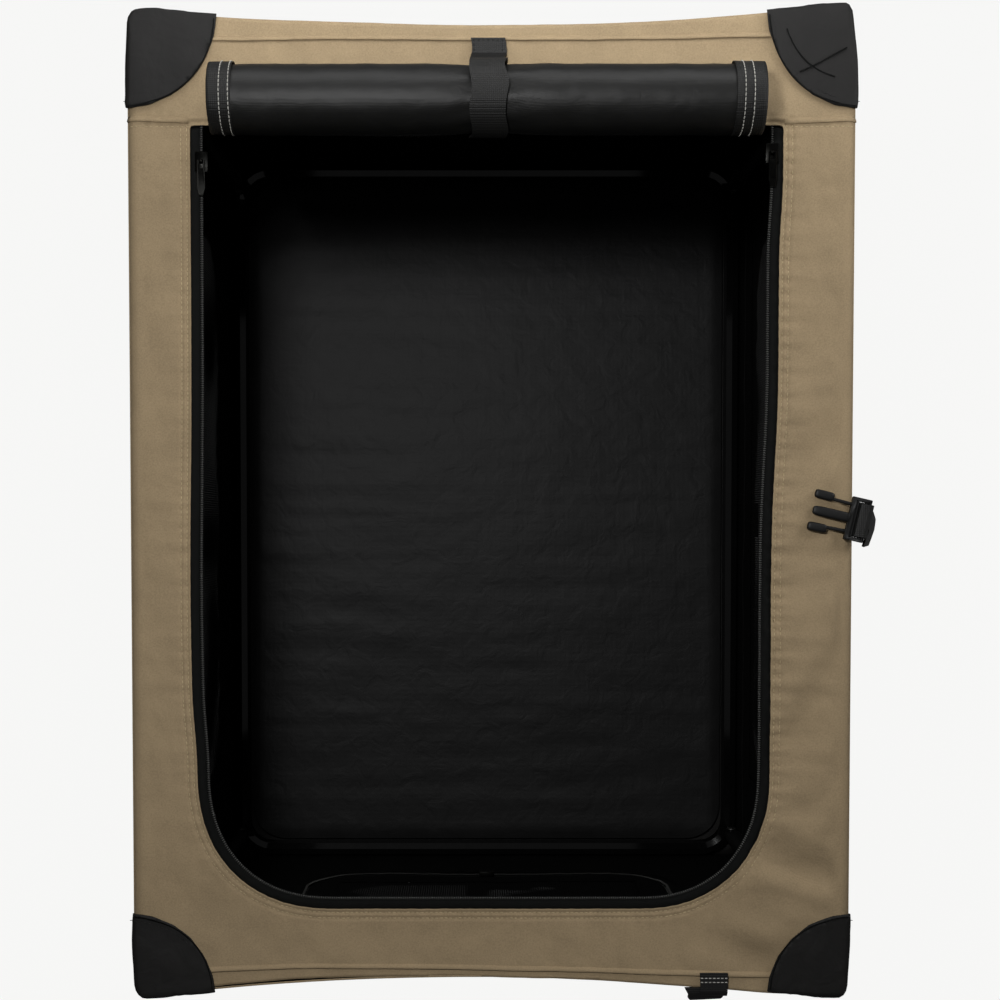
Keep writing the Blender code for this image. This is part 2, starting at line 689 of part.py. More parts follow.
def zip_slider(name, place, along, towards, up):
    """A slider astride the tape's free edge. Towards points from the tape to the opening."""
    half_gap = ZIP_TAPE / 2 + SEAT_GAP
    height = 2 * (half_gap + SLIDER_WING)
    outline = [
        (-SLIDER_WIDTH / 2, half_gap),
        (SLIDER_WIDTH / 2 - SLIDER_WEB, half_gap),
        (SLIDER_WIDTH / 2 - SLIDER_WEB, -half_gap),
        (-SLIDER_WIDTH / 2, -half_gap),
        (-SLIDER_WIDTH / 2, -height / 2),
        (SLIDER_WIDTH / 2, -height / 2),
        (SLIDER_WIDTH / 2, height / 2),
        (-SLIDER_WIDTH / 2, height / 2),
    ]
    body = plate("slider", [outline], "Z", -SLIDER_LENGTH / 2, SLIDER_LENGTH / 2)
    lug_line = height / 2 + LUG_RADIUS
    lug = arc((0, lug_line), LUG_RADIUS, 0, 180, ROUND_STEPS) + [(-LUG_RADIUS, height / 2 - LUG_RADIUS)]
    lug += [(LUG_RADIUS, height / 2 - LUG_RADIUS)]
    ridge = plate("lug", [lug], "X", -LUG_WIDTH / 2, LUG_WIDTH / 2)
    ridge.data.transform(Matrix(((1, 0, 0, 0), (0, 0, 1, 0), (0, -1, 0, 0), (0, 0, 0, 1))))
    body = combined(body, ridge, "UNION")
    return set_in(body, name, place, towards, up, along)


def zip_pull(name, place, along, towards, up):
    """The flat pull, forked round the slider's lug, lying along the slider."""
    half = PULL_WIDTH / 2
    slot = LUG_WIDTH / 2 + SEAT_GAP
    outline = [
        (slot, -PULL_BACK),
        (half, -PULL_BACK),
        (half, PULL_LENGTH * PULL_TAPER_SHARE),
        (half * PULL_TIP_SHARE, PULL_LENGTH),
        (-half * PULL_TIP_SHARE, PULL_LENGTH),
        (-half, PULL_LENGTH * PULL_TAPER_SHARE),
        (-half, -PULL_BACK),
        (-slot, -PULL_BACK),
        (-slot, PULL_FORK_DEPTH),
        (slot, PULL_FORK_DEPTH),
    ]
    pull = plate("pull", [outline], "Z", -PULL / 2, PULL / 2)
    return set_in(pull, name, place, towards, along, up)


def pull_line(place, up):
    """A pull's hinge line: a lug's height above the slider's middle."""
    return Vector(place) + up * (ZIP_TAPE / 2 + SEAT_GAP + SLIDER_WING + LUG_RADIUS)


def skewed(obj):
    """Turns a piece a little about the buckle's front, as it lies on the top's edge."""
    centre = Vector((PLUG_FRONT_X, BUCKLE_Y, 0))
    turn = Matrix.Rotation(math.radians(BUCKLE_TURN_DEGREES), 4, "Z")
    obj.data.transform(Matrix.Translation(centre) @ turn @ Matrix.Translation(-centre))
    return obj


def plug():
    """The buckle's plug half: a guide bar between two barbed prongs, facing the middle."""
    half = [
        (PLUG_BAR_LENGTH, 0),
        (PLUG_BAR_LENGTH, PLUG_BAR_HALF),
        (0, PLUG_BAR_HALF),
        (0, PLUG_ARM_INNER),
        (PLUG_HEAD_TIP - PLUG_HEAD_TAPER, PLUG_ARM_INNER),
        (PLUG_HEAD_TIP, PLUG_ARM_INNER + PLUG_HEAD_TAPER),
        (PLUG_HEAD_TIP, PLUG_HEAD_OUTER - PLUG_HEAD_TAPER),
        (PLUG_HEAD_TIP - PLUG_HEAD_TAPER, PLUG_HEAD_OUTER),
        (PLUG_HEAD_BACK, PLUG_HEAD_OUTER),
        (PLUG_HEAD_BACK, PLUG_ARM_OUTER),
        (0, PLUG_ARM_OUTER),
        (0, PLUG_BODY_HALF),
        (-PLUG_BODY_LENGTH, PLUG_BODY_HALF),
    ]
    outline = half + [(along, -across) for along, across in reversed(half[1:])]
    slot_half = WEBBING_WIDTH / 2 + SEAT_GAP
    slot = [
        (-PLUG_SLOT_END, -slot_half),
        (-PLUG_SLOT_START, -slot_half),
        (-PLUG_SLOT_START, slot_half),
        (-PLUG_SLOT_END, slot_half),
    ]
    loops = [
        [(PLUG_FRONT_X - along, BUCKLE_Y + across) for along, across in loop] for loop in (outline, slot)
    ]
    return skewed(plate("closure_plug", loops, "Z", PLUG_LOW, PLUG_LOW + BUCKLE))


def plug_strap():
    """Webbing that loops round the plug's rear bar and hangs down over the side."""
    half = WEBBING_WIDTH / 2
    low = COVER_Z + SEAT_GAP
    foot = COVER_Z - TAIL_DROP
    top = PLUG_LOW + BUCKLE + SEAT_GAP
    front = PLUG_FRONT_X + PLUG_SLOT_START + SEAT_GAP
    rear = PLUG_FRONT_X + PLUG_BODY_LENGTH + SEAT_GAP
    side = COVER_X + SEAT_GAP + half * math.sin(math.radians(abs(BUCKLE_TURN_DEGREES)))
    outline = [
        (front, low),
        (side, low),
        (side, foot),
        (side + WEBBING, foot),
        (side + WEBBING, low),
        (rear + WEBBING, low),
        (rear + WEBBING, top + WEBBING),
        (front, top + WEBBING),
    ]
    hole = [
        (front + WEBBING, low + WEBBING),
        (front + WEBBING, top),
        (rear, top),
        (rear, low + WEBBING),
    ]
    return skewed(plate("closure_plug_strap", [outline, hole], "Y", BUCKLE_Y - half, BUCKLE_Y + half))


def socket():
    """The buckle's socket half on the base, its mouth up."""
    x = COVER_X + SEAT_GAP
    low, high = SOCKET_LOW, SOCKET_LOW + SOCKET_LENGTH
    outer = rounded_rectangle(
        x, x + SOCKET_DEPTH, BUCKLE_Y - SOCKET_HALF_WIDTH, BUCKLE_Y + SOCKET_HALF_WIDTH, SOCKET_WALL
    )
    body = plate("closure_socket", [outer], "Z", low, high)
    inner_low = (
        x + SOCKET_WALL,
        BUCKLE_Y - SOCKET_HALF_WIDTH + SOCKET_WALL,
        low + SOCKET_WALL * 2,
    )
    inner_high = (
        x + SOCKET_DEPTH - SOCKET_WALL,
        BUCKLE_Y + SOCKET_HALF_WIDTH - SOCKET_WALL,
        high + CUT_OVERRUN,
    )
    return combined(body, box("mouth", inner_low, inner_high), "DIFFERENCE")


def tie_loop():
    """Webbing sewn on the top's near edge and folded over it, to hold the front door up."""
    low = COVER_Z + SEAT_GAP
    near = -(COVER_Y + TIE_STAND_OUT)
    outline = [
        (TIE_FAR_Y, low),
        (near + WEBBING, low),
        (near + WEBBING, low - TIE_DROP),
        (near, low - TIE_DROP),
        (near, low + WEBBING),
        (TIE_FAR_Y, low + WEBBING),
    ]
    return plate("front_tie_loop", [outline], "X", TIE_LEFT, TIE_RIGHT)


def dress(obj, material, pivot=None, parent=None):
    """Gives a piece its material, and its origin on the axis that it turns about."""
    obj.data.materials.clear()
    obj.data.materials.append(material)
    obj.data.shade_smooth()
    obj.data.set_sharp_from_angle(angle=math.radians(SHARP_DEGREES))
    if pivot is not None:
        obj.data.transform(Matrix.Translation(-Vector(pivot)))
        obj.location = pivot
    if parent is not None:
        bpy.context.view_layer.update()
        obj.parent = parent
        obj.matrix_parent_inverse = parent.matrix_world.inverted()
    return obj


def pivot_empty(name, place, parent=None):
    empty = bpy.data.objects.new(name, None)
    empty.empty_display_size = TUBE_RADIUS * 2
    crate_parts.objects.link(empty)
    empty.location = place
    if parent is not None:
        bpy.context.view_layer.update()
        empty.parent = parent
        empty.matrix_parent_inverse = parent.matrix_world.inverted()
    bpy.context.view_layer.update()
    return empty


clear_scene()
crate_parts = new_collection("soft folding dog crate")
cutters = new_collection("cutters", hidden=True)

tan_canvas = new_material("tan polyester canvas", (0.27, 0.22, 0.15), 0.9)
black_canvas = new_material("black polyester", (0.02, 0.02, 0.02), 0.8)
shiny_lining = new_material("black coated lining", (0.03, 0.03, 0.03), 0.35)
webbing = new_material("black webbing", (0.03, 0.03, 0.028), 0.75)
window_mesh = new_material("black window mesh", (0.015, 0.015, 0.015), 0.9)
zip_nylon = new_material("black zip tape", (0.02, 0.02, 0.02), 0.6)
black_steel = new_material("black enamelled steel", (0.02, 0.02, 0.02), 0.3, 0.0)
zinc = new_material("zinc-plated steel", (0.55, 0.55, 0.56), 0.35, 1.0)
black_nickel = new_material("black nickel-plated zip", (0.08, 0.08, 0.08), 0.3, 1.0)
black_plastic = new_material("black acetal", (0.015, 0.015, 0.015), 0.4)
grey_mat = new_material("grey floor mat", (0.035, 0.035, 0.035), 0.55)

# Base: tube ring, brackets, floor, mat and skirts.
base = pivot_empty("base", (0, 0, 0))
dress(base_frame(), black_steel, parent=base)
hip_grip = TONGUE + 2 * SEAT_GAP + 2 * EAR
for side_x, side_word in ((-1, "left"), (1, "right")):
    for side_y, end_word in ((-1, "front"), (1, "rear")):
        hip_place = Vector((side_x * FRAME_X, side_y * LOWER_Y, HIP_HEIGHT))
        dress(rivet(f"{side_word}_{end_word}_hip_rivet", hip_place, hip_grip), zinc, parent=base)
floor_outline = rounded_rectangle(-COVER_X, COVER_X, -COVER_Y, COVER_Y, FABRIC)
dress(plate("floor_panel", [floor_outline], "Z", 0, FLOOR_FABRIC), black_canvas, parent=base)
mat_x = FRAME_X - TUBE_RADIUS - RUN_GAP
mat_y = FRAME_Y - TUBE_RADIUS - RUN_GAP
mat_outline = rounded_rectangle(-mat_x, mat_x, -mat_y, mat_y, MAT_CORNER)
mat = plate("floor_mat", [mat_outline], "Z", FLOOR_TOP, FLOOR_TOP + MAT_THICKNESS)
dress(mat, grey_mat, parent=base)
skirt_half = INNER_Y - SEAT_GAP
skirt_box = ((INNER_X, -skirt_half, FLOOR_TOP), (COVER_X, skirt_half, SKIRT_TOP))
skirt = dress(box("right_skirt", *skirt_box), tan_canvas, parent=base)
dress(mirrored(skirt, "left_skirt", "X"), tan_canvas, parent=base)

# End walls, the front one with its door's opening, the back one with a window.
wall_top = INNER_Z - SEAT_GAP
front_wall = end_slab("front_wall", -1, COVER_Y, FABRIC, FLOOR_TOP, wall_top, COVER_X)
door_outline = u_outline(-DOOR_HALF_WIDTH, DOOR_HALF_WIDTH, DOOR_LOW, DOOR_HIGH, DOOR_CORNER)
door_cutter = plate("door_cutter", [door_outline], "Y", -COVER_Y - WALL_CUT, -COVER_Y + WALL_CUT)
dress(combined(front_wall, door_cutter, "DIFFERENCE"), tan_canvas, parent=base)
front_tape = end_slab(
    "front_zip_tape", -1, COVER_Y - (FABRIC - ZIP_TAPE) / 2, ZIP_TAPE, DOOR_LOW, DOOR_HIGH, DOOR_HALF_WIDTH
)
front_band = zip_band(
    "front_band", -DOOR_HALF_WIDTH, DOOR_HALF_WIDTH, DOOR_LOW, DOOR_HIGH - DOOR_SEAM, DOOR_CORNER, "Y",
    -COVER_Y - WALL_CUT, -COVER_Y + WALL_CUT,
)
dress(combined(front_tape, front_band, "INTERSECT"), zip_nylon, parent=base)
back_wall = end_slab("back_wall", 1, COVER_Y, FABRIC, FLOOR_TOP, wall_top, COVER_X)
back_hole = rounded_rectangle(
    -BACK_WINDOW_HALF_WIDTH, BACK_WINDOW_HALF_WIDTH, BACK_WINDOW_LOW, BACK_WINDOW_HIGH, WINDOW_CORNER
)
cutter = plate("cutter", [back_hole], "Y", COVER_Y - WALL_CUT, COVER_Y + WALL_CUT)
dress(combined(back_wall, cutter, "DIFFERENCE"), tan_canvas, parent=base)
back_mesh = end_slab(
    "back_window", 1, COVER_Y - (FABRIC - MESH) / 2, MESH,
    BACK_WINDOW_LOW, BACK_WINDOW_HIGH, BACK_WINDOW_HALF_WIDTH,
)
back_fill = rounded_rectangle(
    -BACK_WINDOW_HALF_WIDTH + SEAT_GAP, BACK_WINDOW_HALF_WIDTH - SEAT_GAP,
    BACK_WINDOW_LOW + SEAT_GAP, BACK_WINDOW_HIGH - SEAT_GAP, WINDOW_CORNER - SEAT_GAP,
)
cutter = plate("cutter", [back_fill], "Y", COVER_Y - WALL_CUT, COVER_Y + WALL_CUT)
dress(combined(back_mesh, cutter, "INTERSECT"), window_mesh, parent=base)

# Corner caps, four at the base and four on the top.
cap_rows = (("rear", REAR_CAP_REACH, ()), ("front", FRONT_CAP_REACH, ("Y",)))
for end_word, cap_reach, turned_over in cap_rows:
    right_cap = mirrored(corner_cap("cap", False, cap_reach), f"base_{end_word}_right_cap", *turned_over)
    bpy.data.objects.remove(bpy.data.objects["cap"], do_unlink=True)
    dress(mirrored(right_cap, f"base_{end_word}_left_cap", "X"), black_canvas, parent=base)
    dress(right_cap, black_canvas, parent=base)

# Closure strap and its socket, on the base.
strap_low = (COVER_X + SEAT_GAP, BUCKLE_Y - WEBBING_WIDTH / 2, CLOSURE_STRAP_LOW)
strap_high = (COVER_X + SEAT_GAP + WEBBING, BUCKLE_Y + WEBBING_WIDTH / 2, SOCKET_LOW - SEAT_GAP)
dress(box("closure_strap", strap_low, strap_high), webbing, parent=base)
dress(socket(), black_plastic, parent=base)

# Side frames and walls. Each side has a lower and an upper body, joined at the knees.
knee_grip = 2 * TONGUE + 2 * SEAT_GAP + KNEE_WASHER
knee_line = (LOWER_Y + FRAME_Y) / 2
middle_low, middle_high = KNEE_HEIGHT - SEAT_GAP, KNEE_HEIGHT + SEAT_GAP
lower_pieces = [
    (lower_post("front_lower_post", -1), black_steel),
    (lower_post("rear_lower_post", 1), black_steel),
    (side_panel("lower_wall", SKIRT_TOP + SEAT_GAP, middle_low, True), tan_canvas),
    (side_window("lower_window", middle_low, True), window_mesh),
]
upper_pieces = [
    (upper_hoop("upper_hoop"), black_steel),
    (side_panel("upper_wall", middle_high, INNER_Z - SEAT_GAP, False), tan_canvas),
    (side_window("upper_window", middle_high, False), window_mesh),
    (rivet("front_knee_rivet", Vector((KNEE_X, -knee_line, KNEE_HEIGHT)), knee_grip, KNEE_WASHER), zinc),
    (rivet("rear_knee_rivet", Vector((KNEE_X, knee_line, KNEE_HEIGHT)), knee_grip, KNEE_WASHER), zinc),
]
top_pivots = {}
for side, word in ((1, "right"), (-1, "left")):
    flip = ("X",) if side < 0 else ()
    hip_place = Vector((side * FRAME_X, 0, HIP_HEIGHT))
    knee_place = Vector((side * KNEE_X, 0, KNEE_HEIGHT))
    lower = pivot_empty(f"{word}_hip_axis", hip_place, base)
    upper = pivot_empty(f"{word}_knee_axis", knee_place, lower)
    top_pivots[word] = pivot_empty(f"{word}_bar_axis", Vector((side * FRAME_X, 0, BAR_HEIGHT)), upper)
    for pieces, place, parent in ((lower_pieces, hip_place, lower), (upper_pieces, knee_place, upper)):
        for piece, finish in pieces:
            dress(mirrored(piece, f"{word}_{piece.name}", *flip), finish, place, parent)
for piece, _ in lower_pieces + upper_pieces:
    bpy.data.objects.remove(piece, do_unlink=True)

# Top deck: it hangs on the two top bars and stays level.
deck_place = Vector((-FRAME_X, 0, BAR_HEIGHT))
deck = top_pivots["left"]
dress(top_panel(), tan_canvas, deck_place, deck)
for end_word, cap_reach, turned_over in cap_rows:
    right_cap = mirrored(corner_cap("cap", True, cap_reach), f"top_{end_word}_right_cap", *turned_over)
    bpy.data.objects.remove(bpy.data.objects["cap"], do_unlink=True)
    dress(mirrored(right_cap, f"top_{end_word}_left_cap", "X"), black_canvas, deck_place, deck)
    dress(right_cap, black_canvas, deck_place, deck)
tape_low = (INNER_Z + COVER_Z - ZIP_TAPE) / 2
top_tape = zip_band(
    "top_zip_tape", OPENING_LEFT, OPENING_RIGHT, OPENING_NEAR, OPENING_FAR - SEAT_GAP, OPENING_CORNER,
    "Z", tape_low, tape_low + ZIP_TAPE,
)
dress(top_tape, zip_nylon, deck_place, deck)
dress(door_roll(), shiny_lining, deck_place, deck)
dress(roll_strap(), webbing, deck_place, deck)
sleeve = bar_sleeve("right_bar_sleeve")
dress(mirrored(sleeve, "left_bar_sleeve", "X"), black_canvas, deck_place, deck)
dress(sleeve, black_canvas, deck_place, deck)
dress(plug(), black_plastic, deck_place, deck)
dress(plug_strap(), webbing, deck_place, deck)
dress(tie_loop(), webbing, deck_place, deck)

# Front door: it hangs from a seam along its top edge.
hinge_z = DOOR_HIGH - DOOR_SEAM
hinge_y = -(COVER_Y - bow(DOOR_HALF_WIDTH, DOOR_HIGH))
door_place = Vector((0, hinge_y, hinge_z))
door_axis = pivot_empty("front_door_axis", door_place, deck)
door_inset = ZIP_TAPE_WIDTH + SLIDER_WEB + 3 * SEAT_GAP
door_flap = end_slab("front_door", -1, COVER_Y, FABRIC, DOOR_LOW, hinge_z, DOOR_HALF_WIDTH)
flap_outline = u_outline(-DOOR_HALF_WIDTH, DOOR_HALF_WIDTH, DOOR_LOW, DOOR_HIGH, DOOR_CORNER, door_inset)
cutter = plate("cutter", [flap_outline], "Y", -COVER_Y - WALL_CUT, -COVER_Y + WALL_CUT)
door_flap = combined(door_flap, cutter, "INTERSECT")
pane_half = DOOR_HALF_WIDTH - DOOR_BORDER
pane_low, pane_high = DOOR_LOW + DOOR_BORDER, DOOR_HIGH - DOOR_BORDER
pane = rounded_rectangle(-pane_half, pane_half, pane_low, pane_high, WINDOW_CORNER)
cutter = plate("cutter", [pane], "Y", -COVER_Y - WALL_CUT, -COVER_Y + WALL_CUT)
dress(combined(door_flap, cutter, "DIFFERENCE"), tan_canvas, door_place, door_axis)
door_mesh = end_slab(
    "front_door_window", -1, COVER_Y - (FABRIC - MESH) / 2, MESH, pane_low, pane_high, pane_half
)
pane = rounded_rectangle(
    -pane_half + SEAT_GAP, pane_half - SEAT_GAP, pane_low + SEAT_GAP, pane_high - SEAT_GAP,
    WINDOW_CORNER - SEAT_GAP,
)
cutter = plate("cutter", [pane], "Y", -COVER_Y - WALL_CUT, -COVER_Y + WALL_CUT)
dress(combined(door_mesh, cutter, "INTERSECT"), window_mesh, door_place, door_axis)

# Zip sliders and pulls: two at the far ends of the top zip, two together at the front zip's foot.
along_y, along_x, up = AXES["Y"], AXES["X"], AXES["Z"]
tape_z = (INNER_Z + COVER_Z) / 2
edge_in = SEAT_GAP + ZIP_TAPE_WIDTH
reach = SLIDER_WEB - SLIDER_WIDTH / 2 + SEAT_GAP
left_park = Vector((OPENING_LEFT + edge_in + reach, SLIDER_PARK_LEFT_Y, tape_z))
right_park = Vector((OPENING_RIGHT - edge_in - reach, SLIDER_PARK_RIGHT_Y, tape_z))
sliders = {
    "top_left": (left_park, -along_y, along_x, up),
    "top_right": (right_park, -along_y, -along_x, up),
}
front_edge = DOOR_LOW + edge_in + reach
front_y = -(COVER_Y - FABRIC / 2 - bow(0, front_edge))
sliders["front"] = (Vector((0, front_y, front_edge)), along_x, up, -along_y)
for word, (place, along, towards, out) in sliders.items():
    parent = deck if word.startswith("top") else base
    axis = pivot_empty(f"{word}_slider_axis", place, parent)
    dress(zip_slider(f"{word}_slider", place, along, towards, out), black_nickel, place, axis)
    line = pull_line(place, out)
    dress(zip_pull(f"{word}_pull", line, along, towards, out), black_nickel, line, axis)
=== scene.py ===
import json
import math
from itertools import product

import bmesh
import bpy
from mathutils import Matrix, Vector, noise


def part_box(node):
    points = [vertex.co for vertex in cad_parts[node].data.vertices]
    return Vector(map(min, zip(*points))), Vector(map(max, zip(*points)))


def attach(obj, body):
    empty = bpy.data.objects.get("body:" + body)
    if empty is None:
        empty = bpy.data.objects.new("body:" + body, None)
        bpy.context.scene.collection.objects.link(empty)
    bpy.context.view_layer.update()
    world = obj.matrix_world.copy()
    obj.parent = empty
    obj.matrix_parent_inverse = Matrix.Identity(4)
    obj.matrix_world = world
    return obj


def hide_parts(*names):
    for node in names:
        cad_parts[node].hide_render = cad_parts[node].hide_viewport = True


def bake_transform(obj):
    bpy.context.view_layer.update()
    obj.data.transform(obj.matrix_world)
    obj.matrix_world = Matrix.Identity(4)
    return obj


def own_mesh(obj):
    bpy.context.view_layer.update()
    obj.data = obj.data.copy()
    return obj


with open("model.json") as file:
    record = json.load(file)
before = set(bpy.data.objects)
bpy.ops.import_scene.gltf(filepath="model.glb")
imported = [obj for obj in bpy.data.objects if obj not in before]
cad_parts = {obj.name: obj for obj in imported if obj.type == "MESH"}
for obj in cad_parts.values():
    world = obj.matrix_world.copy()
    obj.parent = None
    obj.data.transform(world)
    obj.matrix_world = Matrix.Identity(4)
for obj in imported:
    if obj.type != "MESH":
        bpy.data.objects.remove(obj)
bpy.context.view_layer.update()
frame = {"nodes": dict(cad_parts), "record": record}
print("frame loaded")

# the crate's planes and sizes in metres, as in the CAD model
crate = {
    "height": 0.5210,
    "halfWidth": 0.2587,
    "halfLength": 0.3537,
    "top": 0.5192,
    "tube": 0.0080,
    "barX": 0.2484,
    "barZ": 0.5089,
    # the side walls crease at the knees, within this reach above and below them
    "kneeX": 0.2504,
    "kneeZ": 0.26945,
    "kneeReach": 0.035,
    "endBow": 0.0135,
    "bowHalf": 0.2401,
    "cloth": 0.0014,
    "corner": 0.0125,
    "capX": 0.2605,
    "capY": 0.3555,
    # how much of its height the cloth of the ends keeps when the crate is folded
    "foldKeep": 0.18,
}

# how far the corner patches reach across, along and down
capReach = {"front": (0.0560, 0.0570, 0.0335), "rear": (0.0610, 0.0690, 0.0335)}

# the rolled door: its middle, its ends, its turns and layers, and its strap
roll = {
    "y": 0.2823,
    "z": 0.5450,
    "left": -0.1946,
    "right": 0.1872,
    "turns": 5.54,
    "core": 0.0045,
    "layer": 0.0037,
    "strapX": -0.0025,
    "strapWidth": 0.0250,
    "strapRadius": 0.0254,
    # where its rings of stitches are, and where its two bindings end
    "rings": (-0.1863, -0.1800, 0.1722, 0.1785),
    "bindings": (-0.1785, 0.1664),
}

# the front door: how far it is inside its opening, its top, its low corners, where its zip
# ends, and the level that it flattens to when the crate is folded
door = {"inset": 0.0115, "top": 0.4535, "radius": 0.0535, "zipTop": 0.4500, "foldZ": 0.5182}

# the buckle's plug lies turned about this point, and its socket hangs below it
plug = {"x": 0.2540, "y": -0.0080, "turn": math.radians(-13), "webbing": 0.0246, "strapX": 0.25985}

# the tab at the near edge
tie = {"x": 0.1607, "width": 0.0200, "loopX": 0.1545, "loopWidth": 0.0300, "rows": (-0.3402, -0.3432)}

# the lights: place, what each is aimed at, watts, and its length and width
lamps = {
    "keyLight": ((-0.19, 0.26, 1.52), (0.0, 0.0, 0.5), 6.5, (0.14, 0.14)),
    "rearLight": ((0.0, 0.44, 0.63), (0.0, 0.34, 0.52), 0.65, (0.60, 0.10)),
    "sideLight": ((0.75, 0.35, 0.80), (0.2, 0.1, 0.52), 2.2, (0.30, 0.30)),
}

# the camera above the crate, with its tilt in degrees
view = {"lens": 60.35, "x": -0.0130, "y": -0.0145, "above": 1.2, "tilt": -2.2, "shift": (0.0267, 0.091)}

# the openings: left, right, low, high and the corner radii from low left, counter-clockwise
openings = {
    "top": (-0.2140, 0.2070, -0.2910, 0.2700, (0.100, 0.100, 0.002, 0.002)),
    "side": (-0.2500, 0.2500, 0.1000, 0.4550, (0.050, 0.050, 0.050, 0.050)),
    "door": (-0.1780, 0.1780, 0.1000, 0.4550, (0.065, 0.065, 0.004, 0.004)),
    "pane": (-0.1330, 0.1330, 0.1450, 0.4100, (0.050, 0.050, 0.050, 0.050)),
    "back": (-0.1600, 0.1600, 0.1200, 0.4400, (0.050, 0.050, 0.050, 0.050)),
}

# the edges of the cloth panels: left, right, low and high
panels = {
    "side": (-0.3545, 0.3545, 0.0400, 0.5125),
    "sideWindow": (-0.2590, 0.2590, 0.0910, 0.4640),
    "skirt": (-0.3530, 0.3530, 0.0030, 0.0425),
    "end": (-0.2598, 0.2598, 0.0030, 0.5172),
    "backWindow": (-0.1680, 0.1680, 0.1120, 0.4480),
    "doorWindow": (-0.1410, 0.1410, 0.1370, 0.4180),
    "mat": (-0.2394, 0.2394, -0.3344, 0.3344),
    "bottom": (-0.2586, 0.2586, -0.3536, 0.3536),
}

# colours as sRGB hex
paints = {
    "tan": "988568",
    "tanThread": "bba985",
    "blackCloth": "11100f",
    "lining": "050505",
    "shiny": "0f0f0e",
    "webbing": "10100f",
    "mesh": "0d0d0d",
    "zipTape": "060706",
    "coil": "3c3c3a",
    "nickel": "151514",
    "enamel": "0b0b0b",
    "zinc": "8d8d8a",
    "plastic": "0c0c0c",
    "mat": "1c1c1c",
    "thread": "b4b2ab",
    "floor": "f8f8f7",
}

# how strong the wrinkles are, in metres
wrinkles = {"top": 0.0014, "wall": 0.0022, "roll": 0.0004, "mat": 0.0010, "cap": 0.0008}

# rows of stitches and zip teeth: these sizes in metres, and what they are made of
stitchSizes = ("Pitch", "Length", "Width", "Height")
threads = {
    "seam": (0.0034, 0.0026, 0.0006, 0.0005, "tanThread"),
    "cap": (0.0034, 0.0025, 0.0007, 0.0006, "webbing"),
    "roll": (0.0031, 0.0029, 0.0008, 0.0007, "thread"),
    "strap": (0.0032, 0.0022, 0.0006, 0.0005, "webbing"),
    "tie": (0.0028, 0.0022, 0.0008, 0.0006, "thread"),
    "topCoil": (0.0016, 0.0011, 0.0024, 0.0013, "coil"),
    "frontCoil": (0.0016, 0.0011, 0.0022, 0.0014, "coil"),
    "insideCoil": (0.0016, 0.0012, 0.0030, 0.0014, "coil"),
}

# how far outside an opening its stitches run: two rows each
topHems = (0.0024, 0.0066)
wallHems = (0.0030, 0.0120)
paneHems = (0.0030, 0.0110)


def colourOf(name):
    code = paints[name]
    shares = [int(code[i : i + 2], 16) / 255 for i in (0, 2, 4)]
    linear = [c / 12.92 if c <= 0.04045 else ((c + 0.055) / 1.055) ** 2.4 for c in shares]
    return (*linear, 1.0)


def addNode(tree, kind, links=None, **values):
    # one node, with its plain values set and its inputs linked
    node = tree.nodes.new(kind)
    for key, value in values.items():
        if hasattr(node, key):
            setattr(node, key, value)
        else:
            node.inputs[key.replace("_", " ")].default_value = value
    for key, socket in (links or {}).items():
        target = node.inputs[key] if isinstance(key, int) else node.inputs[key.replace("_", " ")]
        tree.links.new(socket, target)
    return node


def shaderOf(name, roughness, metallic=0.0, gloss=0.5):
    material = bpy.data.materials.new(name)
    material.use_nodes = True
    tree = material.node_tree
    shader = tree.nodes["Principled BSDF"]
    shader.inputs["Roughness"].default_value = roughness
    shader.inputs["Metallic"].default_value = metallic
    shader.inputs["Specular IOR Level"].default_value = gloss
    place = addNode(tree, "ShaderNodeTexCoord")
    return material, tree, shader, place.outputs["Object"]


def mathNode(tree, operation, first, second=None, value=None):
    node = addNode(tree, "ShaderNodeMath", operation=operation)
    tree.links.new(first, node.inputs[0])
    if second is not None:
        tree.links.new(second, node.inputs[1])
    if value is not None:
        node.inputs[1].default_value = value
    return node.outputs[0]


def axisWaves(tree, place, pitch, kind="SINE"):
    # the height of crossed threads, which reads the same on every face of the crate
    parts = addNode(tree, "ShaderNodeSeparateXYZ", {0: place})
    total = None
    for axis in range(3):
        turned = mathNode(tree, "MULTIPLY", parts.outputs[axis], value=2 * math.pi / pitch)
        wave = mathNode(tree, kind, turned)
        total = wave if total is None else mathNode(tree, "ADD", total, wave)
    return total


def mapped(tree, value, fromLow, fromHigh, low, high):
    # a value carried from one range to another
    ends = {"From_Min": fromLow, "From_Max": fromHigh, "To_Min": low, "To_Max": high}
    return addNode(tree, "ShaderNodeMapRange", {"Value": value}, **ends).outputs[0]


def multiplied(tree, first, second):
    # two colours multiplied, of which the first may be a plain one
    mix = addNode(tree, "ShaderNodeMix", data_type="RGBA", blend_type="MULTIPLY", Factor=1.0)
    if isinstance(first, tuple):
        mix.inputs[6].default_value = first
    else:
        tree.links.new(first, mix.inputs[6])
    tree.links.new(second, mix.inputs[7])
    return mix.outputs[2]


def mottled(tree, place, colour, scale, low, high):
    # a colour with soft lighter and darker areas
    cloud = addNode(tree, "ShaderNodeTexNoise", {"Vector": place}, Scale=scale, Detail=5.0, Roughness=0.6)
    shade = mapped(tree, cloud.outputs["Fac"], 0.3, 0.7, low, high)
    grey = addNode(tree, "ShaderNodeCombineColor", {0: shade, 1: shade, 2: shade})
    return multiplied(tree, colour, grey.outputs[0])


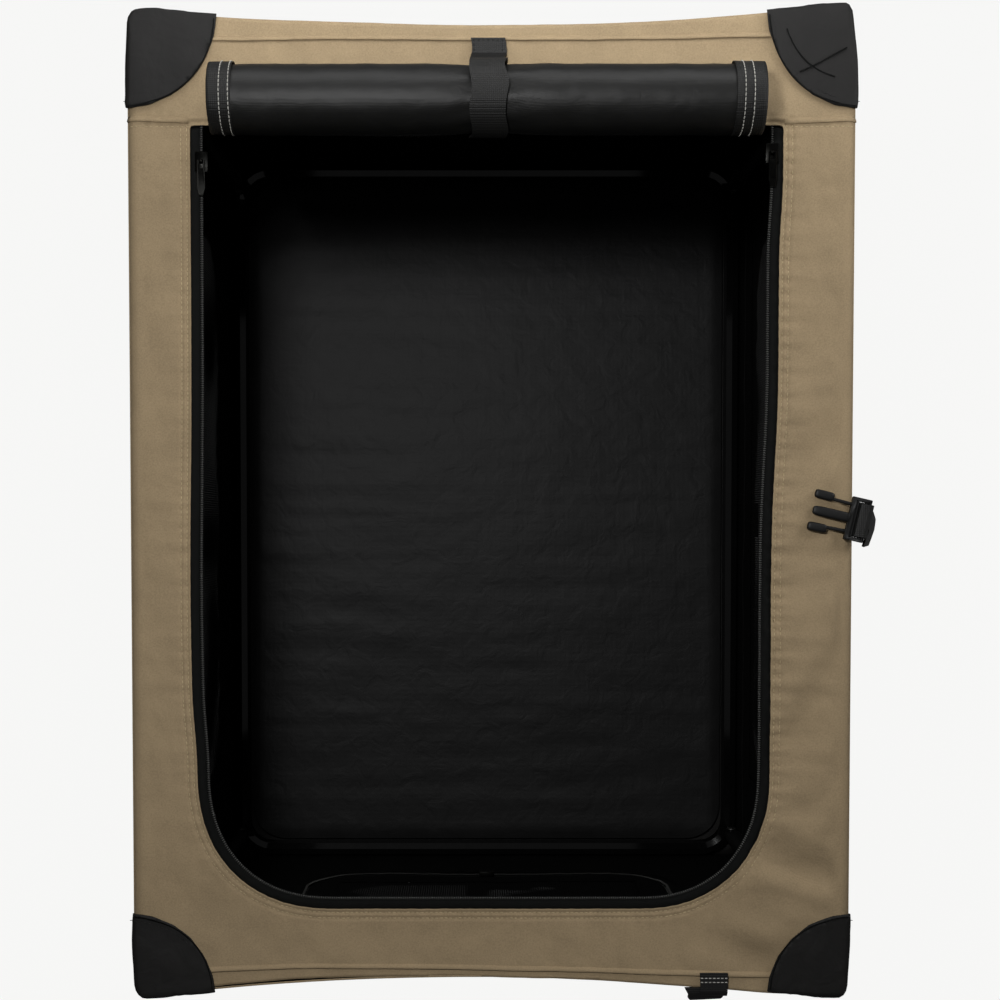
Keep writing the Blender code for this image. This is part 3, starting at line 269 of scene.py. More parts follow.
def clothMaterial(name, paint, roughness, pitch, grain, crease=0.0, gloss=0.5, low=0.86, high=1.1):
    material, tree, shader, place = shaderOf(name, roughness, gloss=gloss)
    base = mottled(tree, place, colourOf(paint), 34.0, low, high)
    fine = mottled(tree, place, (1.0, 1.0, 1.0, 1.0), 900.0, 0.86, 1.12)
    tree.links.new(multiplied(tree, base, fine), shader.inputs["Base Color"])
    weave = axisWaves(tree, place, pitch)
    bump = addNode(tree, "ShaderNodeBump", {"Height": weave}, Strength=grain, Distance=0.0002)
    if crease:
        cloud = {"Scale": 55.0, "Detail": 6.0, "Distortion": 0.6}
        soft = addNode(tree, "ShaderNodeTexNoise", {"Vector": place}, **cloud).outputs["Fac"]
        outer = addNode(tree, "ShaderNodeBump", {"Height": soft}, Strength=crease, Distance=0.003)
        tree.links.new(outer.outputs[0], bump.inputs["Normal"])
    tree.links.new(bump.outputs[0], shader.inputs["Normal"])
    return material


def meshMaterial(name, paint, pitch):
    # knitted window mesh: round holes between dark threads
    material, tree, shader, place = shaderOf(name, 0.8, gloss=0.1)
    shader.inputs["Base Color"].default_value = colourOf(paint)
    knit = axisWaves(tree, place, pitch, "COSINE")
    tree.links.new(mapped(tree, knit, 1.9, 1.5, 0.8, 1.0), shader.inputs["Alpha"])
    bump = addNode(tree, "ShaderNodeBump", {"Height": knit}, Strength=0.5, Distance=0.0003, invert=True)
    tree.links.new(bump.outputs[0], shader.inputs["Normal"])
    return material


def hardMaterial(name, paint, roughness, metallic, scale, bumpDepth, wear=0.0):
    material, tree, shader, place = shaderOf(name, roughness, metallic, 0.3 if roughness > 0.4 else 0.5)
    base = mottled(tree, place, colourOf(paint), scale * 0.2, 0.9, 1.12)
    tree.links.new(base, shader.inputs["Base Color"])
    grit = addNode(tree, "ShaderNodeTexNoise", {"Vector": place}, Scale=scale, Detail=4.0).outputs["Fac"]
    rough = mapped(tree, grit, 0.0, 1.0, max(0.05, roughness - 0.08), roughness + 0.12 + wear)
    tree.links.new(rough, shader.inputs["Roughness"])
    bump = addNode(tree, "ShaderNodeBump", {"Height": grit}, Strength=0.25, Distance=bumpDepth)
    tree.links.new(bump.outputs[0], shader.inputs["Normal"])
    return material


def makeMaterials():
    # for cloth: roughness, thread pitch, how deep the weave and the creases look, gloss, and its
    # darkest and lightest shades; for hard finishes: roughness, metal, grain and its depth, wear
    return {
        # tan woven polyester canvas, matte, a little faded
        "tan": clothMaterial("tanPolyesterCanvas", "tan", 0.85, 0.0007, 0.2, 0.22, 0.3, 0.93, 1.06),
        # the sewn black nylon of the corners
        "cap": clothMaterial("blackNylonPatch", "blackCloth", 0.65, 0.0007, 0.2, 0.25, 0.3, 0.8, 1.3),
        # the walls' coated inside, dull black
        "lining": clothMaterial("blackCoatedLining", "lining", 0.7, 0.0009, 0.2, 0.2, 0.15, 0.8, 1.2),
        # the rolled door's coated inside, which shines a little
        "shiny": clothMaterial("glossyRollLining", "shiny", 0.45, 0.0007, 0.12, 0.2, 0.3, 0.85, 1.2),
        # ribbed polypropylene webbing
        "webbing": clothMaterial("ribbedWebbing", "webbing", 0.6, 0.0014, 0.3, 0.1, 0.35, 0.85, 1.25),
        # zip tape, tightly woven
        "zipTape": clothMaterial("wovenZipTape", "zipTape", 0.7, 0.0008, 0.4, 0.0, 0.15, 0.85, 1.2),
        # the floor mat's dull coated cover
        "mat": clothMaterial("greyCoatedMat", "mat", 0.5, 0.0013, 0.1, 0.25, 0.2, 0.85, 1.15),
        # open knitted mesh
        "mesh": meshMaterial("knittedWindowMesh", "mesh", 0.0021),
        # nylon zip coil
        "coil": hardMaterial("nylonZipCoil", "coil", 0.35, 0.0, 900.0, 0.0001),
        # black enamel on steel tube
        "enamel": hardMaterial("glossBlackEnamel", "enamel", 0.07, 0.0, 260.0, 0.00002, -0.09),
        # black powder coat on the folding tubes
        "powder": hardMaterial("blackPowderCoat", "enamel", 0.5, 0.0, 900.0, 0.00004),
        # zinc plate on the rivets
        "zinc": hardMaterial("zincPlatedSteel", "zinc", 0.32, 1.0, 700.0, 0.0001, 0.1),
        # black nickel plate on the zip sliders
        "nickel": hardMaterial("blackNickelPlate", "nickel", 0.28, 1.0, 700.0, 0.0001, 0.05),
        # moulded acetal of the buckle
        "plastic": hardMaterial("mouldedAcetal", "plastic", 0.5, 0.0, 1100.0, 0.0001),
        # pale sewing thread
        "thread": clothMaterial("paleThread", "thread", 0.7, 0.0005, 0.3),
        # tan sewing thread
        "tanThread": clothMaterial("tanThread", "tanThread", 0.75, 0.0005, 0.3),
    }


def link(name, data):
    obj = bpy.data.objects.new(name, data)
    bpy.context.scene.collection.objects.link(obj)
    return obj


def baked(obj):
    # the evaluated mesh in place of the object and its modifiers
    bpy.context.view_layer.update()
    graph = bpy.context.evaluated_depsgraph_get()
    mesh = bpy.data.meshes.new_from_object(obj.evaluated_get(graph))
    mesh.transform(obj.matrix_world)
    name = obj.name
    bpy.data.objects.remove(obj, do_unlink=True)
    mesh.name = name
    return link(name, mesh)


def gridMesh(name, rows, closed, finish):
    # faces over rows of points; a closed row runs all the way round
    points = [p for row in rows for p in row]
    count = len(rows[0])
    faces = []
    for r in range(len(rows) - 1):
        for i in range(count if closed else count - 1):
            j = (i + 1) % count
            faces.append((r * count + i, r * count + j, (r + 1) * count + j, (r + 1) * count + i))
    mesh = bpy.data.meshes.new(name)
    mesh.from_pydata(points, [], faces)
    for material in finish:
        mesh.materials.append(material)
    mesh.shade_smooth()
    return link(name, mesh)


def sealed(obj, weld=0.0):
    # closes the ends of a mesh and turns its faces outwards
    shape = bmesh.new()
    shape.from_mesh(obj.data)
    if weld:
        bmesh.ops.remove_doubles(shape, verts=shape.verts, dist=weld)
    bmesh.ops.holes_fill(shape, edges=shape.edges)
    bmesh.ops.recalc_face_normals(shape, faces=shape.faces)
    shape.to_mesh(obj.data)
    shape.free()
    return obj


def fitted(piece, slot, body, *nodes):
    if nodes:
        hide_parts(*nodes)
    if body:
        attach(piece, body)


def thickened(obj, thickness, outward, inside=False, rim=0):
    # gives a sheet its thickness inwards; outward is a way the outer face looks
    shape = bmesh.new()
    shape.from_mesh(obj.data)
    bmesh.ops.recalc_face_normals(shape, faces=shape.faces)
    total = sum((f.normal * f.calc_area() for f in shape.faces), Vector())
    if total.dot(Vector(outward)) < 0:
        bmesh.ops.reverse_faces(shape, faces=shape.faces)
    shape.to_mesh(obj.data)
    shape.free()
    solid = obj.modifiers.new("thickness", "SOLIDIFY")
    solid.thickness = thickness
    solid.offset = -1
    solid.use_even_offset = False
    if inside:
        solid.material_offset = 1
        solid.material_offset_rim = rim
    return baked(obj)


def resampled(points, count):
    lengths = [0.0]
    for a, b in zip(points, points[1:]):
        lengths.append(lengths[-1] + math.dist(a, b))
    result, k = [], 0
    for i in range(count):
        goal = lengths[-1] * i / (count - 1)
        while k < len(lengths) - 2 and lengths[k + 1] < goal:
            k += 1
        span = max(lengths[k + 1] - lengths[k], 1e-9)
        t = min(1.0, max(0.0, (goal - lengths[k]) / span))
        result.append(tuple(p + (q - p) * t for p, q in zip(points[k], points[k + 1])))
    return result


def between(a, b, steps):
    # evenly spaced points from one to another
    return [tuple(p + (q - p) * i / steps for p, q in zip(a, b)) for i in range(steps + 1)]


def loopSides(left, right, low, high, radii):
    # a rounded rectangle as four runs, each from the middle of one corner to the next
    centres = [
        (left + radii[0], low + radii[0], radii[0], 180),
        (right - radii[1], low + radii[1], radii[1], 270),
        (right - radii[2], high - radii[2], radii[2], 0),
        (left + radii[3], high - radii[3], radii[3], 90),
    ]
    sides = []
    for i in range(4):
        run = []
        for (u, v, r, start), span in ((centres[i], (45, 90)), (centres[(i + 1) % 4], (0, 45))):
            for step in range(9):
                angle = math.radians(start + span[0] + (span[1] - span[0]) * step / 8)
                run.append((u + r * math.cos(angle), v + r * math.sin(angle)))
        sides.append(run)
    return sides


def loopOf(shape, counts, grow=0.0):
    left, right, low, high, radii = shape
    radii = [max(0.001, r + grow) for r in radii]
    points = []
    for run, count in zip(loopSides(left - grow, right + grow, low - grow, high + grow, radii), counts):
        points += resampled(run, count)[:-1]
    return points


def ringSheet(name, outer, inner, rows, place, finish, outward, counts):
    # a cloth panel round an opening
    outside, within = loopOf(outer, counts), loopOf(inner, counts)
    grid = []
    for r in range(rows + 1):
        t = 1 - (1 - r / rows) ** 1.5
        ring = [tuple(p + (q - p) * t for p, q in zip(a, b)) for a, b in zip(outside, within)]
        grid.append([place(*point) for point in ring])
    return thickened(gridMesh(name, grid, True, finish), crate["cloth"], outward, len(finish) > 1)


def filledSheet(name, edges, cell, place, finish, outward, thickness, rim=0):
    # a rectangular cloth panel
    left, right, low, high = edges
    columns, lines = round((right - left) / cell), round((high - low) / cell)
    grid = []
    for j in range(lines + 1):
        v = low + (high - low) * j / lines
        grid.append([place(*point) for point in between((left, v), (right, v), columns)])
    return thickened(gridMesh(name, grid, False, finish), thickness, outward, len(finish) > 1, rim)


def meshWindow(name, edges, place, outward):
    # a window's thin mesh
    return filledSheet(name, edges, 0.006, place, [finishes["mesh"]], outward, 0.0004)


def smoothed(obj, angle):
    # smooth faces, with sharp edges where they meet at more than this angle
    obj.data.shade_smooth()
    obj.data.set_sharp_from_angle(angle=math.radians(angle))
    return obj


def band(name, path, width, thickness, across, finish, wave=0.0):
    # webbing along a path: a flat section whose edges are rounded, with slightly uneven edges
    path = [Vector(p) for p in path]
    across = Vector(across).normalized()
    rows = []
    for i, point in enumerate(path):
        ahead = path[min(i + 1, len(path) - 1)] - path[max(i - 1, 0)]
        up = across.cross(ahead.normalized()).normalized()
        broad = width(i / (len(path) - 1)) if callable(width) else width
        half = broad / 2 + wave * noise.noise(point * 90)
        drift = across * wave * noise.noise(point * 60 + Vector((7, 3, 1)))
        ring = []
        for side, lift in ((-1, -1), (-1, 1), (1, 1), (1, -1)):
            for k in range(3):
                turn = k / 2 if (side < 0) == (lift < 0) else 1 - k / 2
                edge = half - 0.35 * thickness * (1 - turn if lift < 0 else turn)
                ring.append(point + drift + across * side * edge + up * lift * thickness / 2)
        rows.append(ring)
    obj = sealed(gridMesh(name, rows, True, [finish]), 1e-6)
    obj.data.set_sharp_from_angle(angle=math.radians(50))
    return obj


def fractal(p, scale, octaves=3):
    total, size = 0.0, 1.0
    for k in range(octaves):
        total += size * noise.noise(Vector(p) * scale * 2**k + Vector((11.3 * k, 4.7, 9.1)))
        size *= 0.5
    return total


def smoothStep(x, low, high):
    t = min(1.0, max(0.0, (x - low) / (high - low)))
    return t * t * (3 - 2 * t)


def bell(x, width):
    return math.exp(-((x / width) ** 2))


def bow(x, z):
    # how far the short edges are drawn in between the corners
    across = min(1.0, abs(x) / crate["bowHalf"])
    return crate["endBow"] * (1 - across**2.2) * max(0.0, z) / crate["height"]


def roundCorner(p):
    # the crate's upright corners are soft: a square corner is drawn in to a round one,
    # and towards the top it leans in, on the rear left also to the front
    lean = 0.0018 if p.x < 0 else 0.0042 if p.y > 0 else 0.0028
    upper = smoothStep(p.z, 0.44, 0.505)
    lean *= smoothStep(abs(p.y), 0.310, crate["capY"]) * upper * smoothStep(abs(p.x), 0.19, 0.25)
    rearLeft = upper * smoothStep(p.y, 0.28, 0.34) * smoothStep(-p.x, 0.09, 0.23)
    p = Vector((p.x - math.copysign(lean, p.x), p.y - 0.0034 * rearLeft, p.z))
    r = crate["corner"] * (1 + 0.30 * rearLeft)
    baseX, baseY = crate["capX"] - r, crate["capY"] - r
    u, v = (abs(p.x) - baseX) / r, (abs(p.y) - baseY) / r
    if u <= 0 or v <= 0:
        return p
    u, v = min(u, 1.2), min(v, 1.2)
    x = baseX + r * u * math.sqrt(1 - v * v / 2)
    y = baseY + r * v * math.sqrt(1 - u * u / 2)
    return Vector((math.copysign(x, p.x), math.copysign(y, p.y), p.z))


def edgeGap(u, v, shape):
    # how far a point is outside a rounded rectangle
    left, right, low, high, radii = shape
    cu, cv = (left + right) / 2, (low + high) / 2
    r = radii[0] if v < cv else radii[2]
    du = abs(u - cu) - ((right - left) / 2 - r)
    dv = abs(v - cv) - ((high - low) / 2 - r)
    return math.hypot(max(du, 0), max(dv, 0)) + min(max(du, dv), 0) - r


def pucker(along, gap, pitch, reach, seed=0.0):
    # small ripples that run across a seam and die away from it
    wobble = 1.5 * noise.noise(Vector((along * 22, seed, 3.1)))
    strength = 0.55 + 0.45 * noise.noise(Vector((along * 9, seed, 8.2)))
    return strength * math.sin(2 * math.pi * along / pitch + wobble * 4) * math.exp(-abs(gap) / reach)


def drifted(u, v):
    # round the opening the near corners are squarer and the long edges lean in towards the near end
    left, right, low, _, radii = openings["top"]
    middle, r = (left + right) / 2, radii[0]
    near = 1 - smoothStep(abs(edgeGap(u, v, openings["top"])), 0.012, 0.042)
    lean = 0.0024 * smoothStep(0.235 - v, 0.0, 0.06) + 0.0042 * smoothStep(0.10 - v, 0.0, 0.14)
    if u < 0:
        lean = 0.0026 * smoothStep(-0.13 - v, 0.0, 0.06) - 0.0018 * bell(v + 0.06, 0.10)
    lean *= smoothStep(abs(u), 0.09, 0.19)
    du, dv = abs(u - middle) - ((right - left) / 2 - r), low + r - v
    push = 0.0
    if du > 0 and dv > 0:
        size = math.hypot(du, dv)
        push = r * (((du / size) ** 2.3 + (dv / size) ** 2.3) ** (-1 / 2.3) - 1) / size
    return u + near * math.copysign(1, u - middle) * (du * push - lean), v - near * dv * push


def folds(x, y):
    # long creases: slanting down the borders, and fanning out to the near corners
    turned = smoothStep(-y, 0.20, 0.28)
    long = noise.noise(Vector(((0.80 * x - 0.60 * y) * 44, (0.60 * x + 0.80 * y) * 8, 4.4)))
    fan = noise.noise(Vector(((0.39 * x + 0.92 * y) * 58, (0.92 * x - 0.39 * y) * 9, 7.7)))
    return long * (1 - turned) + fan * turned


def topRipples(x, y, calm, gap):
    # the cloth's unevenness: broad folds on the loose right side, puckers and furrows at the seams
    rightSide = smoothStep(x, 0.13, 0.20) * (1 - smoothStep(y, 0.262, 0.274))
    loose = 0.45 + 0.55 * rightSide
    rumpled = rightSide * (1 - smoothStep(y, 0.00, 0.20))
    slant = fractal((x * 1.6 + y * 0.5, y * 0.8 - x * 0.5, 0.3), 19, 3)
    soft = slant * (0.8 - 0.4 * rumpled) + folds(x, y) * (0.3 + 3.7 * rumpled)
    soft *= wrinkles["top"] * calm * (0.3 + 0.7 * smoothStep(gap, 0.0, 0.020))
    across, along, _ = capReach["rear"]
    underCap = math.hypot((crate["capX"] - abs(x)) / across, (crate["capY"] - abs(y)) / along)
    soft *= smoothStep(underCap, 0.85, 1.20)
    beside = y if abs(x) > 0.2 and abs(y) < 0.28 else x
    ripple = pucker(beside, gap - 0.0045, 0.0088, 0.006, 1.0) * 0.0011 * (0.25 + loose)
    ripple += pucker(beside, gap - 0.012, 0.019, 0.012, 1.5) * 0.0007 * loose
    ripple += pucker(y, abs(x) - 0.240, 0.026, 0.012, 2.0) * 0.0008 * calm * loose
    ripple += pucker(x, abs(y) - 0.331, 0.024, 0.010, 4.0) * 0.0005
    ripple += pucker(x * 2, y - 0.2717, 0.018, 0.007, 6.0) * 0.0006
    hem = -0.0007 * bell(gap - topHems[0], 0.0011) - 0.0006 * bell(gap - topHems[1], 0.0012)
    seam = -0.0006 * bell(y - 0.2700, 0.0030) * calm
    sag = -0.0030 * bell(abs(y) - 0.31, 0.04) * (1 - smoothStep(abs(x), 0.12, 0.24))
    outer = 1 - 0.8 * smoothStep(abs(y), 0.340, crate["halfLength"])
    return (soft + ripple * calm) * outer + hem + seam + sag * (1 if y < 0 else 0.5)


def topPoint(u, v, lift=0.0):
    # the top's outer face; u and v run on the cloth, which rolls over the side tubes
    flat = crate["barX"] + 0.0023
    angle = max(0.0, abs(u) - flat) / crate["tube"]
    moved, shifted = drifted(u, v)
    x = math.copysign(min(abs(moved), flat) + crate["tube"] * math.sin(angle), u)
    z = crate["top"] - crate["tube"] * (1 - math.cos(angle))
    ends = smoothStep(abs(v), 0.297, crate["halfLength"])
    y = shifted - math.copysign(bow(x, crate["height"]) * ends, v)
    if v < 0:
        y -= 0.0026 * ends * max(-1.0, min(1.0, x / 0.14)) * (1 - smoothStep(abs(x), 0.19, 0.24))
    calm = 1 - smoothStep(abs(u), 0.243, 0.252)
    height = topRipples(x, y, calm, edgeGap(u, v, openings["top"]))
    normal = Vector((math.copysign(math.sin(angle), u), 0, math.cos(angle)))
    return roundCorner(Vector((x, y, z)) + normal * (height + lift))


def sidePoint(side):
    # the outer face of a side wall
    def place(v, w, lift=0.0):
        gap = edgeGap(v, w, openings["side"])
        edges = smoothStep(min(crate["halfLength"] - abs(v), 0.513 - w, w), 0.0, 0.05)
        soft = fractal((side * 3.0, v, w), 11, 3) * wrinkles["wall"] * edges
        ripple = pucker(v if abs(v) < 0.25 else w, gap - 0.004, 0.024, 0.014, 5.0 + side) * 0.0009
        ripple += pucker(v, w - 0.480, 0.027, 0.016, 9.0 + side) * 0.0007 * edges
        hem = -0.00035 * bell(gap - 0.0035, 0.0011)
        height = max(-0.0004, soft + ripple + 0.0006) + hem
        return roundCorner(Vector((side * (crate["halfWidth"] + height + lift), v, w)))

    return place


def endPoint(side, shape):
    # the outer face of an end wall, which hangs straight below its bowed top edge
    def place(u, w, lift=0.0):
        gap = edgeGap(u, w, shape)
        edges = smoothStep(min(crate["halfWidth"] - abs(u) + 0.004, crate["height"] - w, w), 0.0, 0.03)
        soft = fractal((u, side * 5.0, w), 11, 3) * wrinkles["wall"] * edges
        soft *= smoothStep(abs(gap), 0.0, 0.02) * 0.8 + 0.2
        ripple = pucker(u if abs(w - 0.28) > 0.17 else w, gap - 0.004, 0.022, 0.014, 13.0 + side) * 0.0008
        ripple += pucker(u, w - 0.512, 0.025, 0.016, 17.0 + side) * 0.0010
        height = min(0.0003, soft + ripple * edges) + lift
        hollow = bow(u, w) * smoothStep(w, 0.36, 0.515)
        return roundCorner(Vector((u, side * (crate["halfLength"] - hollow + height), w)))

    return place


def stitchTree():
    # Geometry Nodes: one small bead of thread at even steps along each path
    tree = bpy.data.node_groups.new("evenStitches", "GeometryNodeTree")
    face = tree.interface
    face.new_socket("Geometry", in_out="INPUT", socket_type="NodeSocketGeometry")
    for key in stitchSizes:
        face.new_socket(key, in_out="INPUT", socket_type="NodeSocketFloat")
    face.new_socket("Finish", in_out="INPUT", socket_type="NodeSocketMaterial")
    face.new_socket("Geometry", in_out="OUTPUT", socket_type="NodeSocketGeometry")
    given = tree.nodes.new("NodeGroupInput").outputs
    path = addNode(tree, "GeometryNodeMeshToCurve", {"Mesh": given["Geometry"]})
    along = {"Curve": path.outputs[0], "Length": given["Pitch"]}
    even = addNode(tree, "GeometryNodeCurveToPoints", along, mode="LENGTH").outputs
    bead = addNode(tree, "GeometryNodeMeshUVSphere", Segments=6, Rings=4, Radius=0.5)
    sizes = {0: given["Width"], 1: given["Height"], 2: given["Length"]}
    size = addNode(tree, "ShaderNodeCombineXYZ", sizes)
    shaped = {"Geometry": bead.outputs["Mesh"], "Scale": size.outputs[0]}
    scaled = addNode(tree, "GeometryNodeTransform", shaped)
    spread = {"Points": even["Points"], "Instance": scaled.outputs[0], "Rotation": even["Rotation"]}
    copies = addNode(tree, "GeometryNodeInstanceOnPoints", spread)
    real = addNode(tree, "GeometryNodeRealizeInstances", {"Geometry": copies.outputs[0]})
    coloured = {"Geometry": real.outputs[0], "Material": given["Finish"]}
    done = addNode(tree, "GeometryNodeSetMaterial", coloured)
    tree.links.new(done.outputs[0], tree.nodes.new("NodeGroupOutput").inputs[0])
    return tree


def stitches(name, paths, kind):
    # rows of stitches or zip teeth along paths, as one mesh
    *sizes, finish = threads[kind]
    points, edges = [], []
    for path in paths:
        start = len(points)
        points += [tuple(p) for p in path]
        edges += [(start + i, start + i + 1) for i in range(len(path) - 1)]
    mesh = bpy.data.meshes.new(name)
    mesh.from_pydata(points, edges, [])
    obj = link(name, mesh)
    modifier = obj.modifiers.new("stitches", "NODES")
    modifier.node_group = stitchNodes
    items = stitchNodes.interface.items_tree
    sockets = {item.name: item.identifier for item in items if item.in_out == "INPUT"}
    for key, value in zip(stitchSizes, sizes):
        modifier[sockets[key]] = value
    modifier[sockets["Finish"]] = finishes[finish]
    obj = baked(obj)
    obj.data.shade_smooth()
    return obj


def closedPath(shape, place, grow, lift=0.0001):
    loop = loopOf(shape, (60, 60, 60, 60), grow)
    return [place(u, v, lift) for u, v in loop + loop[:1]]


def uPath(shape, place, grow, lift, top, arcSteps=12, count=210):
    # an opening's edge from its top left, round its low corners, to its top right
    left, right, low, _, radii = shape
    r = radii[0] + grow
    left, right, low = left - grow, right + grow, low - grow
    points = [(left, top)]
    for start, middle in ((180, left + r), (270, right - r)):
        for k in range(arcSteps + 1):
            angle = math.radians(start + 90 * k / arcSteps)
            points.append((middle + r * math.cos(angle), low + r + r * math.sin(angle)))
    points.append((right, top))
    return [place(u, v, lift) for u, v in resampled(points, count)]


def topEdge(grow, lift):
    # a path round the top's opening, which is open at the roll
    return uPath(openings["top"], topPoint, grow, lift, openings["top"][3], 16, 320)


def strip(name, firstPath, secondPath, finish, outward, thickness):
    # a flat tape between two paths
    rows = [firstPath, [a.lerp(b, 0.5) for a, b in zip(firstPath, secondPath)], secondPath]
    return thickened(gridMesh(name, rows, False, [finish]), thickness, outward)


def softCopy(node, name, finish, cell, amount, middle):
    # a cloth version of a CAD solid: cut into small cells, eased at its edges and a little uneven
    mesh = frame["nodes"][node].data.copy()
    shape = bmesh.new()
    shape.from_mesh(mesh)
    bmesh.ops.remove_doubles(shape, verts=shape.verts, dist=1e-6)
    low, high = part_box(node)
    for axis in range(3):
        normal = Vector([float(i == axis) for i in range(3)])
        steps = int((high[axis] - low[axis]) / cell)
        for k in range(1, steps + 1):
            at = low[axis] + (high[axis] - low[axis]) * k / (steps + 1)
            everything = shape.verts[:] + shape.edges[:] + shape.faces[:]
            bmesh.ops.bisect_plane(shape, geom=everything, plane_co=normal * at, plane_no=normal)
    free = {"use_axis_x": True, "use_axis_y": True, "use_axis_z": True}
    bmesh.ops.smooth_vert(shape, verts=shape.verts, factor=0.5, **free)
    shape.normal_update()
    for vertex in shape.verts:
        away = (vertex.co - Vector(middle)).normalized()
        vertex.co += away * amount * (0.4 + fractal(vertex.co, 34, 3))
    bmesh.ops.triangulate(shape, faces=[f for f in shape.faces if len(f.verts) > 4])
    shape.to_mesh(mesh)
    shape.free()
    mesh.materials.clear()
    mesh.materials.append(finish)
    mesh.name = name
    obj = smoothed(link(name, mesh), 55)
    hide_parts(node)
    return obj


def hardCopy(node, name, finish, bevel=0.0, segments=2, angle=38):
    # a rigid CAD solid with its edges eased and its round faces smooth
    mesh = frame["nodes"][node].data.copy()
    shape = bmesh.new()
    shape.from_mesh(mesh)
    bmesh.ops.remove_doubles(shape, verts=shape.verts, dist=1e-6)
    bmesh.ops.dissolve_limit(shape, angle_limit=math.radians(1.0), verts=shape.verts, edges=shape.edges)
    shape.to_mesh(mesh)
    shape.free()
    mesh.materials.clear()
    mesh.materials.append(finish)
    obj = link(name, mesh)
    if bevel:
        ease = obj.modifiers.new("edges", "BEVEL")
        ease.width = bevel
        ease.segments = segments
        ease.limit_method = "ANGLE"
        ease.angle_limit = math.radians(angle)
        ease.harden_normals = False
        obj = baked(obj)
    smoothed(obj, angle)
    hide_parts(node)
    return obj


def joined(first, *others):
    # one piece from several meshes that share their slots
    shape = bmesh.new()
    for obj in (first, *others):
        shape.from_mesh(obj.data)
    shape.to_mesh(first.data)
    shape.free()
    for obj in others:
        bpy.data.objects.remove(obj, do_unlink=True)
    return first


def lap(name, points, width, height, finish):
    # a narrow fold of cloth along a seam, thin at one side and full at the other
    section = [(0.0, -0.0004)]
    for across, share in ((0.0, 0.75), (0.12, 1.0), (0.5, 0.8), (1.0, 0.1), (1.0, -0.4)):
        section.append((across * width, share * height))
    rows = []
    for i, (u, v) in enumerate(points):
        a = points[max(i - 1, 0)]
        b = points[min(i + 1, len(points) - 1)]
        size = math.dist(a, b)
        du, dv = -(b[1] - a[1]) / size, (b[0] - a[0]) / size
        rows.append([topPoint(u + du * across, v + dv * across, rise) for across, rise in section])
    return sealed(gridMesh(name, rows, True, [finish]))


def topSeams():
    # the laps where the cross panels join the side borders, and along both short edges
    left, right = openings["top"][0], openings["top"][1]
    edge, half = 0.2600, 0.21
    rows = [
        between((-edge, 0.2727), (left - 0.001, 0.2712), 10),
        between((right + 0.001, 0.2705), (edge + 0.001, 0.2727), 10),
    ]
    for level, sign in ((0.3342, 1), (0.3415, -1)):
        row = between((-half, sign * level), (half, sign * level), 60)
        rows.append([(u, v + sign * 0.0069 * (1 - (u / half) ** 2)) for u, v in row])
    return [lap(f"seam{i}", row, 0.0042, 0.0015, finishes["tan"]) for i, row in enumerate(rows)]


def makeTop():
    # the tan top, its stitching, its zip and its seams
    outerHalf = crate["barX"] + 0.0023 + crate["tube"] * math.pi / 2
    outer = (-outerHalf, outerHalf, -crate["halfLength"], crate["halfLength"], (0.006,) * 4)
    panel = ringSheet(
        "topPanel", outer, openings["top"], 46, topPoint, canvas, (0, 0, 1), (170, 230, 170, 230)
    )
    joined(panel, *topSeams())
    fitted(panel, "tan_canvas", "top_deck", "top_panel")
    paths = topEdge(0.0040, -0.0016), topEdge(-0.0089, -0.0016)
    tape = strip("topZipTape", *paths, finishes["zipTape"], (0, 0, 1), 0.0009)
    fitted(tape, "zip_tape", "top_deck", "top_zip_tape")
    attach(stitches("topZipCoil", [topEdge(-0.0080, -0.0010)], "topCoil"), "top_deck")
    rows = [topEdge(hem, 0.0001) for hem in topHems]
    for start, end in ((-0.2155, -0.2560), (0.2090, 0.2560)):
        rows.append([topPoint(u, v, 0.0001) for u, v in between((start, 0.2690), (end, 0.2690), 12)])
    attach(stitches("topStitches", rows, "seam"), "top_deck")


def capRows(corner, reach, signs, onBase):
    # the stitching near a patch's curved edges, a row on each face of the crate that it covers
    rows = []
    for first, second in ((1, 2), (0, 2)) if onBase else ((0, 1), (1, 2), (0, 2)):
        row = []
        for k in range(25):
            angle = math.radians(4 + 82 * k / 24)
            p = corner.copy()
            p[first] += signs[first] * reach[first] * math.cos(angle)
            p[second] += signs[second] * reach[second] * math.sin(angle)
            if first == 0:
                p.y += signs[1] * bow(p.x, p.z)
            row.append(roundCorner(p))
        rows.append(row)
    return rows


def makeCaps():
    # the eight sewn corner patches with their edge stitching
    for level, end, side in product(("base", "top"), ("front", "rear"), ("left", "right")):
        sx, sy = (-1 if side == "left" else 1), (-1 if end == "front" else 1)
        onBase = level == "base"
        body = "base" if onBase else "top_deck"
        name = f"{level}{end.title()}{side.title()}Cap"
        node, middle = f"{level}_{end}_{side}_cap", (sx * 0.19, sy * 0.27, 0.09 if onBase else 0.43)
        cap = softCopy(node, name, finishes["cap"], 0.005, wrinkles["cap"], middle)
        for vertex in cap.data.vertices:
            vertex.co = roundCorner(vertex.co - Vector((sx * 0.0009, sy * 0.0006, 0)))
        fitted(cap, "black_canvas", body)
        reach = capReach[end]
        # the cloth on the upright faces, and for a top patch also its lobe on the top
        corner = Vector((sx * crate["capX"], sy * crate["capY"], 0 if onBase else crate["height"]))
        rows = capRows(corner, reach, (-sx, -sy, 1 if onBase else -1), onBase)
        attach(stitches(f"{name}Thread", rows, "cap"), body)
        if not onBase:
            fitted(capTrimAndShadowLine(name, corner, sx, sy, reach), "black_canvas", body)


